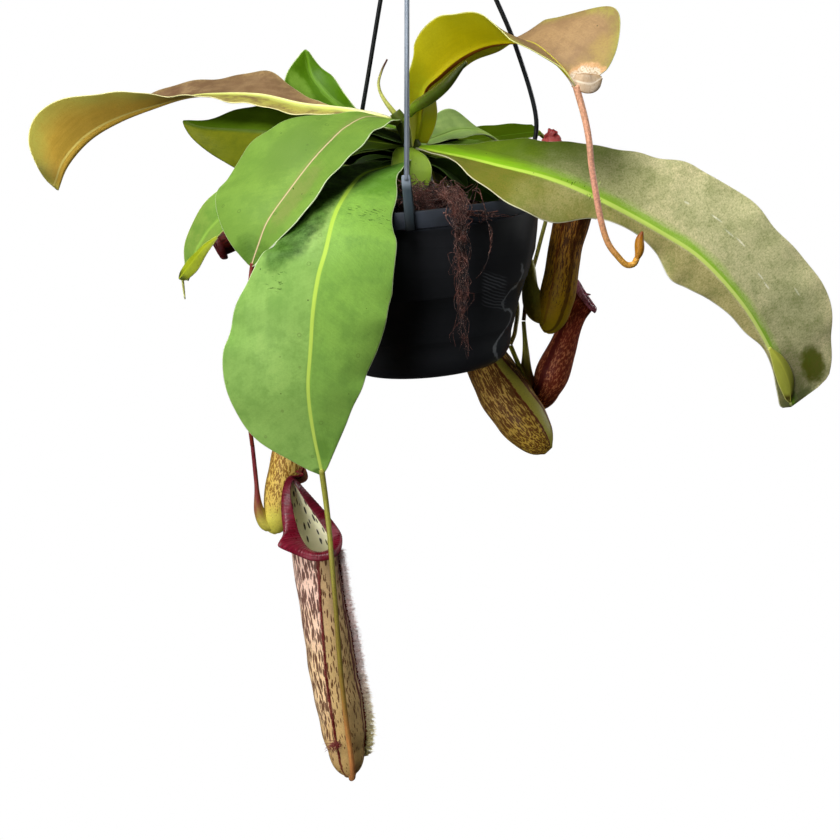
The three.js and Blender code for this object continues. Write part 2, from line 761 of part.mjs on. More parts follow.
// A domed lid over the mouth
function lidSolid(pitcher) {
  const lid = leafSolid({
    spine: [neckTop(pitcher), ...pitcher.lid],
    up: [pitcher.lidUp, pitcher.lidUp],
    left: pitcher.lidHalf,
    right: pitcher.lidHalf,
    fold: [0, 0],
    curl: [-25, -25],
    rows: 5,
    shares: [1, 0.5],
    rib: [0.9, 0.9],
  });
  return largest(lid.subtract(lipSolid(pitcher, GAP)));
}

// The pot and its filling turned on the lathe, then hung askew
function lathed(profile, segments = POT_SIDES) {
  const points = profile.map(([radius, height]) => new THREE.Vector2(radius, height));
  const geometry = new THREE.LatheGeometry(points, segments);
  geometry.rotateX(Math.PI / 2);
  geometry.rotateY(THREE.MathUtils.degToRad(-POT_TILT));
  geometry.translate(...POT_CENTRE);
  return geometry;
}

// A strand: a stiff cord with a clip moulded on its end, hooked over the pot's rim
function strandSolid(points, azimuth) {
  const hub = HUB_POINTS.map(([x, y, z]) => [x, y, z - GAP]);
  const hubGrown = toSolid(tube(hub, HUB_RADII.map((r) => r + GAP), 2, 10));
  const cord = toSolid(tube(points, [1.7, 1.6, 1.6, 1.7], 10)).subtract(hubGrown);
  const clip = new THREE.Shape();
  clip.moveTo(RIM_RADIUS + GAP, -12);
  for (const [radius, height] of CLIP_OUTLINE) {
    clip.lineTo(RIM_RADIUS + radius, height);
  }
  const geometry = new THREE.ExtrudeGeometry(clip, { depth: 8, bevelEnabled: false });
  geometry.translate(0, 0, -4);
  geometry.rotateX(Math.PI / 2);
  geometry.rotateZ(THREE.MathUtils.degToRad(azimuth));
  geometry.rotateY(THREE.MathUtils.degToRad(-POT_TILT));
  geometry.translate(...POT_CENTRE);
  return largest(cord.add(toSolid(geometry)));
}

const pot = toSolid(lathed(POT_PROFILE));
const soil = toSolid(lathed(SOIL_PROFILE));
const soilGrown = toSolid(lathed(SOIL_PROFILE.map(([r, h]) => [r, h > -20 ? h + GAP : h])));
const stem = toSolid(tube(STEM_POINTS, STEM_RADII, 8, 10)).subtract(soilGrown);
const stemGrown = toSolid(tube(STEM_POINTS, STEM_RADII.map((r) => r + GAP), 8, 10));
const rootTangle = ROOTS.map(({ points, radii }) => toSolid(tube(points, radii, 12, 5)))
  .reduce((all, root) => all.add(root))
  .subtract(soilGrown);

place("pot", toGeometry(pot), BLACK, 0.25);
place("soil", toGeometry(soil), SOIL, 0.95);
place("stem", toGeometry(largest(stem)), STEM);
place("roots", toGeometry(largest(rootTangle)), ROOT, 0.9);
place("hook", toGeometry(toSolid(tube(HOOK_POINTS, [2, 2], 22, 8))
  .add(toSolid(tube(HUB_POINTS, HUB_RADII, 2, 10)))), BLACK, 0.3);
for (const [name, strand] of Object.entries(STRANDS)) {
  place(name, toGeometry(strandSolid(strand.points, strand.azimuth)), BLACK, 0.3);
}
for (const [name, shoot] of Object.entries(SHOOTS)) {
  const solid = toSolid(tube(shoot.points, shoot.radii, 8, 6)).subtract(stemGrown);
  place(name, toGeometry(largest(solid)), shoot.color);
}
for (const [name, leaf] of Object.entries(LEAVES)) {
  place(name, toGeometry(largest(leafSolid(leaf).subtract(stemGrown))), leaf.color);
}
for (const [name, pitcher] of Object.entries(PITCHERS)) {
  place(name, toGeometry(largest(pitcherSolid(pitcher))), pitcher.color);
  place(`${name}_lip`, toGeometry(lipSolid(pitcher)), pitcher.lip, 0.3);
  place(`${name}_lid`, toGeometry(lidSolid(pitcher)), pitcher.lip);
}

export default group;
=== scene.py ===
# %% [markdown]
# # A hanging pitcher plant
# This lesson dresses a solid model of a tropical pitcher plant in its black hanging pot. The
# solids are loaded first and stay where they are. Each visible piece is then made round them
# with the same sizes, and takes the place of the plain solid that it stands for.

# %% Load the solid model
import math

import bpy
import numpy as np
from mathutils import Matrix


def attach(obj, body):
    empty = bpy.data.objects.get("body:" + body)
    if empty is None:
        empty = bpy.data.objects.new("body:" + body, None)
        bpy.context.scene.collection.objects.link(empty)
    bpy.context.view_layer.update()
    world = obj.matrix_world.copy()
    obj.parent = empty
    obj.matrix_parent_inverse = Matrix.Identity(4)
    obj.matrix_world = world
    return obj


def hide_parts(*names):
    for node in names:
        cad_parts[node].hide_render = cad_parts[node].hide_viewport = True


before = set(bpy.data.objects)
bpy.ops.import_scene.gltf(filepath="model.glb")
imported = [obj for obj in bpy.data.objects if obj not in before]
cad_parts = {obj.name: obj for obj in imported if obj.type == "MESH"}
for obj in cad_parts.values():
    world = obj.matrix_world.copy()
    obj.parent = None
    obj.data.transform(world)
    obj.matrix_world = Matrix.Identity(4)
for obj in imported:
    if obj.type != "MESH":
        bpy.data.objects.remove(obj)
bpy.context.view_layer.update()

print("solids:", len(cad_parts))

# %% [markdown]
# The photograph looks at the plant from a little above, from about 0.9 m away, with a lens that
# sees 38 degrees. The camera is set from those three facts, and everything else is drawn
# in metres from the inside of the hook's bend.

# %% Set the camera
LOOK_DOWN = math.radians(15)
DISTANCE = 0.9
LOOK_AT = np.array([0.0083, 0.0, -0.4348])
FOCAL_PIXELS = 1228
IMAGE_PIXELS = 840

camera_data = bpy.data.cameras.new("camera")
camera_data.sensor_width = 36
camera_data.lens = camera_data.sensor_width * FOCAL_PIXELS / IMAGE_PIXELS
camera_data.clip_start = 0.05
camera = bpy.data.objects.new("camera", camera_data)
look = np.array([0, math.cos(LOOK_DOWN), -math.sin(LOOK_DOWN)])
camera.location = LOOK_AT - DISTANCE * look
camera.rotation_euler = (math.pi / 2 - LOOK_DOWN, 0, 0)
bpy.context.scene.collection.objects.link(camera)
bpy.context.scene.camera = camera
print("camera at", [round(value, 3) for value in camera.location])

# %% [markdown]
# A shader's maths is easier to read as a plain sum than as boxes and wires. This small class
# holds one output of a shader node, and each sum on it adds the node that works it out.

# %% Sums on shader sockets
class Flow:
    """A number or colour that runs through a finish's nodes."""

    def __init__(self, finish, node, output):
        self.finish = finish
        self.node = node
        self.socket = node.outputs[output]

    def maths(self, operation, *values):
        return self.finish.add("ShaderNodeMath", {"operation": operation}, dict(enumerate(values)))

    def __add__(self, other):
        return self.maths("ADD", self, other)

    def __radd__(self, other):
        return self.maths("ADD", other, self)

    def __sub__(self, other):
        return self.maths("SUBTRACT", self, other)

    def __rsub__(self, other):
        return self.maths("SUBTRACT", other, self)

    def __mul__(self, other):
        return self.maths("MULTIPLY", self, other)

    def __rmul__(self, other):
        return self.maths("MULTIPLY", other, self)

    def __truediv__(self, other):
        return self.maths("DIVIDE", self, other)

    def __abs__(self):
        return self.maths("ABSOLUTE", self)

    def sine(self):
        return self.maths("SINE", self)

    def rising(self, low, high):
        """0 below low, 1 above high, and a soft step between."""
        inputs = {0: self, 1: low, 2: high}
        return self.finish.add("ShaderNodeMapRange", {"interpolation_type": "SMOOTHSTEP"}, inputs)

    def falling(self, low, high):
        return 1 - self.rising(low, high)

    def parts(self):
        node = self.finish.add("ShaderNodeSeparateXYZ", {}, {0: self}).node
        return [Flow(self.finish, node, axis) for axis in range(3)]

    def stretched(self, *scale):
        settings = {"operation": "MULTIPLY"}
        return self.finish.add("ShaderNodeVectorMath", settings, {0: self, 1: scale})


def tint(text):
    """A colour written as six hex digits, as the shader's linear numbers."""
    values = [int(text[k:k + 2], 16) / 255 for k in (0, 2, 4)]
    linear = [v / 12.92 if v <= 0.04045 else ((v + 0.055) / 1.055) ** 2.4 for v in values]
    return (*linear, 1)


# %% [markdown]
# One method adds every node: it takes the node's type, its settings and the values or flows of
# its sockets. The rest of the class is short names for the few patterns that a plant needs.

# %% A finish and its nodes
class Finish:
    """A material whose pattern is built node by node."""

    def __init__(self, name, **constants):
        self.material = bpy.data.materials.new(name)
        self.material.use_nodes = True
        self.tree = self.material.node_tree
        self.shader = self.tree.nodes["Principled BSDF"]
        for socket, value in constants.items():
            self.shader.inputs[socket.replace("_", " ")].default_value = value
        self.where = self.add("ShaderNodeTexCoord", output="Object")

    def add(self, kind, settings=None, inputs=None, output=0):
        node = self.tree.nodes.new(kind)
        for name, value in (settings or {}).items():
            setattr(node, name, value)
        for key, value in (inputs or {}).items():
            self.join(value, node.inputs[key])
        return Flow(self, node, output)

    def join(self, value, socket):
        if isinstance(value, Flow):
            self.tree.links.new(value.socket, socket)
        else:
            socket.default_value = value

    def attribute(self, name, output="Vector"):
        return self.add("ShaderNodeAttribute", {"attribute_name": name}, output=output)

    def noise(self, scale, where=None, detail=3, roughness=0.55):
        inputs = {"Vector": where or self.where, "Scale": scale}
        inputs |= {"Detail": detail, "Roughness": roughness}
        return self.add("ShaderNodeTexNoise", {}, inputs)

    def cells(self, scale, where=None, output="Distance"):
        return self.add("ShaderNodeTexVoronoi", {}, {"Vector": where or self.where, "Scale": scale},
                        output)

    def join_xyz(self, x, y, z):
        return self.add("ShaderNodeCombineXYZ", {}, {0: x, 1: y, 2: z})

    def mix(self, share, first, second):
        settings = {"data_type": "RGBA"}
        return self.add("ShaderNodeMix", settings, {0: share, 6: first, 7: second}, 2)

    def colour(self, value):
        self.join(value, self.shader.inputs["Base Color"])

    def rough(self, value):
        self.join(value, self.shader.inputs["Roughness"])

    def bump(self, height, distance, strength=1.0):
        inputs = {"Height": height, "Distance": distance, "Strength": strength}
        self.join(self.add("ShaderNodeBump", {}, inputs), self.shader.inputs["Normal"])


print("finishes can be made")

# %% [markdown]
# The plant hangs in a bright white room. A pale floor lies far below, and a white dome stands
# behind everything. Both are stage, which only the camera sees, so the light comes from the
# world, brighter above than below, and from three soft panels.

# %% Light the stage
def glowing(name, strength):
    finish = Finish(name)
    inputs = {"Color": (1, 1, 1, 1), "Strength": strength}
    glow = finish.add("ShaderNodeEmission", {}, inputs)
    output = finish.tree.nodes["Material Output"]
    finish.tree.links.new(glow.socket, output.inputs["Surface"])
    return finish.material


bpy.ops.object.select_all(action="DESELECT")
bpy.ops.mesh.primitive_circle_add(vertices=64, radius=3.9, fill_type="NGON", location=(0, 0, -1.5))
floor = bpy.context.object
floor.name = "floor"
floor.data.materials.append(glowing("pale_floor", 1.0))
bpy.ops.mesh.primitive_ico_sphere_add(subdivisions=5, radius=4)
dome = bpy.context.object
dome.name = "dome"
dome.data.materials.append(glowing("white_dome", 1.0))
for item in (floor, dome):
    item.visible_diffuse = False
    item.visible_glossy = False
    item.visible_transmission = False
    item.visible_shadow = False

world = bpy.data.worlds.new("room")
bpy.context.scene.world = world
world.use_nodes = True
nodes = world.node_tree.nodes
direction = nodes.new("ShaderNodeTexCoord")
height = nodes.new("ShaderNodeSeparateXYZ")
level = nodes.new("ShaderNodeMapRange")
level.inputs["From Min"].default_value = -0.7
level.inputs["From Max"].default_value = 0.8
level.inputs["To Min"].default_value = 0.55
level.inputs["To Max"].default_value = 0.95
world.node_tree.links.new(direction.outputs["Generated"], height.inputs[0])
world.node_tree.links.new(height.outputs["Z"], level.inputs["Value"])
world.node_tree.links.new(level.outputs[0], nodes["Background"].inputs["Strength"])

PANELS = {
    "key": ((-0.5, -0.75, 1.4), (0.0, -0.05, -0.35), 1.1, 50),
    "front": ((-1.2, -1.6, -0.2), (0.0, 0.0, -0.45), 1.3, 34),
    "side": ((1.7, 0.8, 0.0), (0.1, 0.0, -0.35), 0.45, 12),
}
for name, (place, aim, size, power) in PANELS.items():
    data = bpy.data.lights.new(name, "AREA")
    data.size = size
    data.energy = power
    panel = bpy.data.objects.new(name, data)
    panel.location = place
    facing = bpy.context.scene.cursor.location.copy()
    facing[:] = np.array(aim) - np.array(place)
    panel.rotation_euler = facing.to_track_quat("-Z", "Y").to_euler()
    bpy.context.scene.collection.objects.link(panel)
bpy.context.scene.view_settings.view_transform = "Standard"
print("lights:", ", ".join(PANELS))

# %% [markdown]
# Most of the plant follows lines: a leaf its rib, a tendril or a root its own run. A smooth line
# goes through a few points, and is measured so that equal shares of it are equally long. This
# is the maths that the solids were made with, so the pieces lie where the solids are.

# %% Smooth lines
MM = 0.001


def smooth(values, share):
    """Smooth values between evenly spaced stations, for many shares at once."""
    values = np.asarray(values, float)
    x = np.clip(share, 0, 1) * (len(values) - 1)
    i = np.minimum(x.astype(int), len(values) - 2)
    f = x - i
    first = 2 * values[0] - values[1]
    last = 2 * values[-1] - values[-2]
    padded = np.concatenate([[first], values, [last]])
    a, b, c, d = (padded[i + k] for k in range(4))
    f = f.reshape(f.shape + (1,) * (values.ndim - 1))
    return b + 0.5 * f * (c - a + f * (2 * a - 5 * b + 4 * c - d + f * (3 * (b - c) + d - a)))


def unit(vectors):
    return vectors / np.maximum(np.linalg.norm(vectors, axis=-1, keepdims=True), 1e-9)


class Line:
    """A smooth line through points in millimetres."""

    def __init__(self, points):
        self.points = np.array(points, float)
        self.steps = np.linspace(0, 1, 201)
        places = smooth(self.points, self.steps)
        lengths = np.linalg.norm(np.diff(places, axis=0), axis=1)
        self.travel = np.concatenate([[0], np.cumsum(lengths)])
        self.length = self.travel[-1]

    def at(self, share):
        travel = np.clip(share, 0, 1) * self.length
        return smooth(self.points, np.interp(travel, self.travel, self.steps))

    def way(self, share):
        return unit(self.at(share + 0.01) - self.at(share - 0.01))

    def facing(self, share, up):
        """Place, way along, upper side and right-hand side, with up as a hint."""
        way = self.way(share)
        side = unit(np.cross(way, smooth(up, share)))
        return self.at(share), way, np.cross(side, way), side

    def unturned(self, share):
        """Two directions across the line that don't twist round it."""
        ways = self.way(self.steps)
        across = unit(np.cross(ways[0], [0.3, 0.2, 1]))
        run = []
        for way in ways:
            across = unit(across - way * np.dot(across, way))
            run.append(across)
        first = unit(smooth(run, share))
        return first, np.cross(self.way(share), first)


print("lines are measured in", len(Line([[0, 0, 0], [1, 0, 0]]).steps), "steps")

# %% [markdown]
# A blade, a tube and a hollow wall are all one sheet that is laid along a line and rolled up.
# It starts as Blender's grid, whose points are then put where a formula says. Where its edges
# meet they are merged, so the skin is closed, and its normals are turned outwards. Hairs and
# root fibres are too many for that, so they are curves with a round section.

# %% Rolled sheets
def deselect():
    bpy.ops.object.select_all(action="DESELECT")


def points_of(piece):
    """The places of a mesh's points, one to a row, in metres."""
    flat = np.empty(len(piece.data.vertices) * 3)
    piece.data.vertices.foreach_get("co", flat)
    return flat.reshape(-1, 3)


def put_points(piece, points):
    piece.data.vertices.foreach_set("co", points.ravel())


def sheet(name, across, rows, formula):
    """A grid whose points are placed by formula(u, v) in millimetres, closed where it meets."""
    deselect()
    bpy.ops.mesh.primitive_grid_add(x_subdivisions=across, y_subdivisions=rows, size=2)
    piece = bpy.context.object
    piece.name = piece.data.name = name
    grid = points_of(piece) / 2 + 0.5
    points, marks = formula(grid[:, 0], grid[:, 1])
    put_points(piece, points * MM)
    for mark, values in marks.items():
        kind = "FLOAT_VECTOR" if values.ndim == 2 else "FLOAT"
        layer = piece.data.attributes.new(mark, kind, "POINT")
        layer.data.foreach_set("vector" if values.ndim == 2 else "value", values.ravel())
    close(piece)
    return piece


def close(piece):
    """Merges what meets, drops what has no size, and turns the faces outwards."""
    bpy.context.view_layer.objects.active = piece
    bpy.ops.object.mode_set(mode="EDIT")
    bpy.ops.mesh.select_all(action="SELECT")
    bpy.ops.mesh.remove_doubles(threshold=2e-6)
    bpy.ops.mesh.dissolve_degenerate(threshold=1e-7)
    bpy.ops.mesh.select_all(action="SELECT")
    bpy.ops.mesh.normals_make_consistent(inside=False)
    bpy.ops.object.mode_set(mode="OBJECT")
    bpy.ops.object.shade_smooth()


def finished(piece, finish, slot, *nodes):
    """Gives a piece its finish and its body, and hides the solids it stands for; slot is not used.
    """
    piece.data.materials.clear()
    piece.data.materials.append(finish.material)
    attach(piece, "root")
    if nodes:
        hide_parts(*nodes)
    deselect()
    print(piece.name, len(piece.data.polygons), "faces")


def with_ends(v, rows):
    """How far along each row lies, and False in the first and last rows, which close the ends."""
    share = np.clip((v * rows - 1) / (rows - 2), 0, 1)
    return share, (v * rows > 0.5) & (v * rows < rows - 0.5)


def tube(name, points, radii, around=10, rows=60):
    """A round tapering tube with closed ends."""
    line = Line(points)

    def formula(u, v):
        share, open_end = with_ends(v, rows)
        first, second = line.unturned(share)
        angle = (2 * math.pi * u)[:, None]
        radius = (smooth(radii, share) * open_end)[:, None]
        points = line.at(share) + radius * (np.cos(angle) * first + np.sin(angle) * second)
        run = np.stack([share, share * line.length, angle[:, 0]], axis=1)
        return points, {"run": run}

    return sheet(name, around, rows, formula)


def fibres(name, runs, thickness):
    """One mesh of many thin tubes; each run is a list of points in millimetres with radii."""
    data = bpy.data.curves.new(name, "CURVE")
    data.dimensions = "3D"
    data.bevel_depth = thickness * MM
    data.bevel_resolution = 0
    data.use_fill_caps = True
    for points, radii in runs:
        spline = data.splines.new("POLY")
        spline.points.add(len(points) - 1)
        flat = np.column_stack([np.array(points) * MM, np.ones(len(points))])
        spline.points.foreach_set("co", flat.ravel())
        spline.points.foreach_set("radius", np.array(radii, float))
    piece = bpy.data.objects.new(name, data)
    bpy.context.scene.collection.objects.link(piece)
    deselect()
    piece.select_set(True)
    bpy.context.view_layer.objects.active = piece
    bpy.ops.object.convert(target="MESH")
    piece = bpy.context.object
    piece.name = piece.data.name = name
    bpy.ops.object.shade_smooth()
    return piece


print("sheets can be rolled")

# %% [markdown]
# The solid model was drawn from tables like these, in millimetres, and a few outlines and lines are
# brought closer to the photograph here. A leaf follows no rule, so listed points are the plainest
# way to hold its shape: the points of its rib, hints of which side is up along it, half widths to
# the left and right, and the angles by which each half is folded and curled. A pitcher has its line
# from the base to the mouth, its radii, the side that faces out, the neck's rise and the lip's
# flare. The front one's neck is also pinched on each side, and its lip is drawn out and raised at
# two corners, which are angles round the mouth.

# %% Sizes of the leaves, pitchers, strands and shoots
LEAVES = {
    "leaf_front_large": {
        "spine": [
            [4, -4, -249], [-15, -28, -252], [-30, -52, -256], [-39, -82, -266], [-45, -104, -278],
            [-49, -124, -296], [-53, -132, -310], [-56, -138, -329], [-58, -140, -353],
            [-60, -140, -378], [-58, -137, -404], [-53, -133, -435],
        ],
        "up": [[0, 0, 1], [0, -0.3, 1], [0, -0.8, 0.7], [0, -1, 0.2], [0, -1, 0], [0, -1, -0.1]],
        "left": [6, 20, 29, 36, 44.5, 46, 38, 24, 1.5],
        "right": [6, 12, 20, 28, 34, 48, 55, 44, 3],
        "round": 5,
        "fold": [25, 8, 0, 0],
        "curl": [0, -20, -25, -10],
        "tendril": [
            [-53.5, -133, -431], [-51, -132, -455], [-49, -136, -474], [-47, -142, -497],
            [-45, -144, -528], [-43, -145, -563], [-40, -144, -600], [-37, -143, -629],
            [-36.5, -138, -644], [-38, -131.4, -650],
        ],
        "tendrilRadius": [1.8, 1.5, 1.6, 1.8],
    },
    "leaf_front_left": {
        "spine": [
            [-6, -1, -223], [-26, -23, -219], [-40, -40, -225], [-50, -56, -234], [-61, -71, -246],
            [-74, -87, -263], [-86, -99.5, -280], [-92, -105, -295], [-96, -110, -307],
        ],
        "up": [[0.2, -0.2, 1], [0, -0.7, 1], [-0.3, -0.8, 0.6], [-0.4, -0.9, 0.2]],
        "left": [3, 19, 26, 25, 24.5, 25, 24.5, 17, 2],
        "right": [3, 3.5, 13.5, 42, 51.5, 56, 54, 37, 2],
        "leftFold": [20, 14, 15],
        "rightFold": [20, 5, 0],
        "rightCurl": [0, -25, -15],
        "tendril": [
            [-95.5, -109.5, -305], [-98, -108, -322], [-103, -96, -355], [-107, -76, -400],
            [-106.5, -62, -436],
        ],
        "tendrilRadius": [1.4, 1.4],
    },
    "leaf_far_left": {
        "spine": [
            [-8, 2, -221], [-44, 25, -214], [-76, 42, -211], [-107, 54, -205], [-137, 62, -204],
            [-163, 66, -206], [-187, 66, -213], [-213, 62, -223], [-235, 58, -236],
            [-251, 52, -254], [-258, 45, -272],
        ],
        "up": [[0, 0, 1], [0, 0, 1]],
        "left": [3, 12, 19, 23, 25, 25, 25, 25, 31, 38, 16],
        "right": [2, 2.5, 3, 14, 32, 33, 35, 32, 28, 18, 2],
        "round": 10,
        "leftFold": [0, -15, -15, -15, -12, -6, 6, 35, 62, 85, 88],
        "rightFold": [20, 24, 24, 24, 30, 22, 20, 15, 10, 5, 0],
    },
    "leaf_upper_right": {
        "spine": [
            [4, -1, -236], [8, -8, -218], [12, -12, -201], [22, -18, -192], [36, -26, -181],
            [51, -38, -174], [66, -52, -172], [78, -66, -173], [88, -80, -181], [97, -92, -191],
            [103, -101, -201],
        ],
        "up": [
            [-1, 0, 0.3], [-1, 0, 0.4], [-0.6, 0, 0.8], [0, 0, 1], [0, 0, 1], [0.5, 0, 0.8],
            [0.8, 0, 0.5],
        ],
        "left": [10, 15, 17, 27, 29, 29, 30, 27, 50, 42, 19],
        "right": [8, 12, 14, 28, 31, 30, 26, 25, 22, 14, 5],
        "round": 3,
        "leftFold": [-70, -55, -25, -12, -10, 4, 20, 38, 60, 76, 85],
        "rightFold": [0, 30, 66, 80, 70, 46, 36, 10, -8, -10, 0],
        "tendril": [
            [102.5, -101, -199], [108, -103, -217], [111, -105, -231], [113, -105, -246],
            [116, -105, -261], [120, -105, -279], [125, -105, -293], [132, -105, -302],
            [137, -105, -306.5], [141.5, -105, -306], [143.3, -105, -302.5],
        ],
        "tendrilRadius": [2.1, 1.9, 1.9, 1.8],
    },
    "leaf_right_large": {
        "spine": [
            [6, -4, -240], [23, -18, -243], [42, -33, -246], [61, -46, -250], [81, -57, -254],
            [99, -65, -259], [117, -71, -266], [136, -75, -275], [162, -78, -289], [189, -78, -306],
            [216, -76, -333], [235, -72, -359], [249, -67, -384], [261, -60, -409],
        ],
        "up": [[0, -0.3, 1], [0, -0.65, 0.9], [0.1, -0.95, 0.6], [0.1, -1, 0.4], [0.1, -1, 0.25]],
        "left": [4, 14, 28, 36, 41, 48.5, 54, 54, 52, 55, 45, 29],
        "right": [
            2, 5, 9, 20, 29, 33, 34, 28, 15, 9.5, 8.8, 13, 22, 20, 14.5, 11, 9, 4, 3.5, 6, 9,
        ],
        "round": 7,
        "leftFold": [20, 0, 0, 0],
        "rightFold": [
            20, 18, 16, 14, 12, 5, -2, -15, -28, -32, -35, -28, -20, -20, -20, -25, -30, -30, -30,
            -15, 0,
        ],
    },
    "leaf_back_left": {
        "spine": [
            [-3, 2, -229], [-23, 33, -224], [-43.5, 58, -217.5], [-60, 75, -206], [-73, 88, -191],
            [-78, 94, -172],
        ],
        "up": [[0, -0.4, 1], [0, -1, 0.6], [0.4, -1, 0.3]],
        "left": [3, 4, 16, 26, 28, 2],
        "right": [3, 3, 3.5, 9.5, 13, 2],
        "fold": [20, 15, 10],
    },
    "leaf_mid_left": {
        "spine": [
            [0, 1, -240], [-44, 14, -234], [-82, 26, -231], [-117, 34, -229], [-148, 40, -227],
            [-163, 45, -223],
        ],
        "up": [[0, 0, 1], [0, 0, 1]],
        "left": [3, 16, 28, 33, 24, 2],
        "right": [3, 16, 28, 36, 25, 2],
        "leftFold": [0, -40, -65, -70, -70, -60],
        "rightFold": [20, 30, 38, 34, 30, 20],
    },
    "leaf_low_left": {
        "spine": [
            [5, -2, -256], [-46, -22, -262], [-93, -32, -272], [-123, -36, -283], [-141, -38, -303],
            [-150, -40, -326],
        ],
        "up": [[0, -0.2, 1], [0, -0.6, 1], [-0.6, -0.8, 0.4]],
        "left": [3, 12, 18, 18, 10, 1.5],
        "right": [3, 14, 22, 26, 18, 2],
        "fold": [20, 10, 0],
    },
    "leaf_back_right": {
        "spine": [[6, 3, -243], [30, 45, -240], [61, 75, -236], [100, 98, -232]],
        "up": [[0, -0.2, 1], [0, -0.6, 1], [0, -0.6, 1]],
        "left": [3, 12, 14, 9],
        "right": [3, 12, 14, 6],
        "fold": [20, 15, 10],
        "tendril": [
            [99, 97.5, -232], [108, 102, -244], [110, 98, -280], [101, 88, -318], [92, 78, -350],
            [89, 74.5, -374.5],
        ],
        "tendrilRadius": [1.5, 1.5],
    },
    "leaf_inner_right": {
        "spine": [[6, 2, -238], [22, 20, -233], [38, 34, -229], [54, 46, -231], [70, 54, -240]],
        "up": [[0, -0.2, 1], [0, 0, 1], [0, 0, 1]],
        "left": [3, 12, 17.5, 3, 1.5],
        "right": [3, 10, 11, 3, 1.5],
        "leftFold": [40, 55, 50],
        "rightFold": [0, -20, -30],
        "tendril": [
            [69.5, 54, -239.5], [80, 60, -252], [88, 58, -280], [87, 54, -304], [88, 52, -316],
        ],
        "tendrilRadius": [1.5, 1.5],
    },
    "leaf_front_small": {
        "spine": [[-1, -4, -240], [-1, -20, -243], [1, -30, -254], [1, -36, -272]],
        "up": [[0, 0, 1], [0, -0.5, 1], [0, -1, 0.3]],
        "left": [4, 11, 15, 9],
        "right": [4, 9, 13, 8],
        "round": 10,
        "fold": [10, 5, 0],
        "curl": [0, -10, -5],
    },
    "leaf_back_low": {
        "spine": [[11, 4, -255], [14, 50, -252], [18, 92, -262], [24, 118, -288]],
        "up": [[0, 0, 1], [0, 0, 1], [0, 0.6, 0.8]],
        "left": [3, 20, 24, 14, 1.5],
        "right": [3, 20, 24, 14, 1.5],
        "fold": [20, 10, 5],
        "curl": [0, -15],
        "tendril": [
            [23.5, 117, -286], [40, 122, -302], [66, 114, -330], [84, 94, -360], [83, 78, -382],
            [79, 71.5, -392.5],
        ],
        "tendrilRadius": [1.6, 1.6],
    },
    "leaf_low_back_left": {
        "spine": [[4, 3, -258], [-28, 36, -254], [-58, 54, -260], [-80, 56, -270]],
        "up": [[0, 0, 1], [0, 0, 1]],
        "left": [3, 14, 16, 1.5],
        "right": [3, 16, 18, 1.5],
        "fold": [20, 10],
        "tendril": [[-79, 56, -269], [-86, 48, -274], [-88, 36, -272], [-87, 26, -270]],
        "tendrilRadius": [1.4, 1.4],
    },
    "leaf_low_right": {
        "spine": [[8, -2, -252], [26, -8, -255], [44, -14, -264], [62, -18, -274]],
        "up": [[0, -0.2, 1], [0, -0.8, 1], [0, -0.8, 0.8]],
        "left": [3, 10, 12, 1.5],
        "right": [3, 12, 14, 1.5],
        "fold": [20, 10, 0],
    },
}
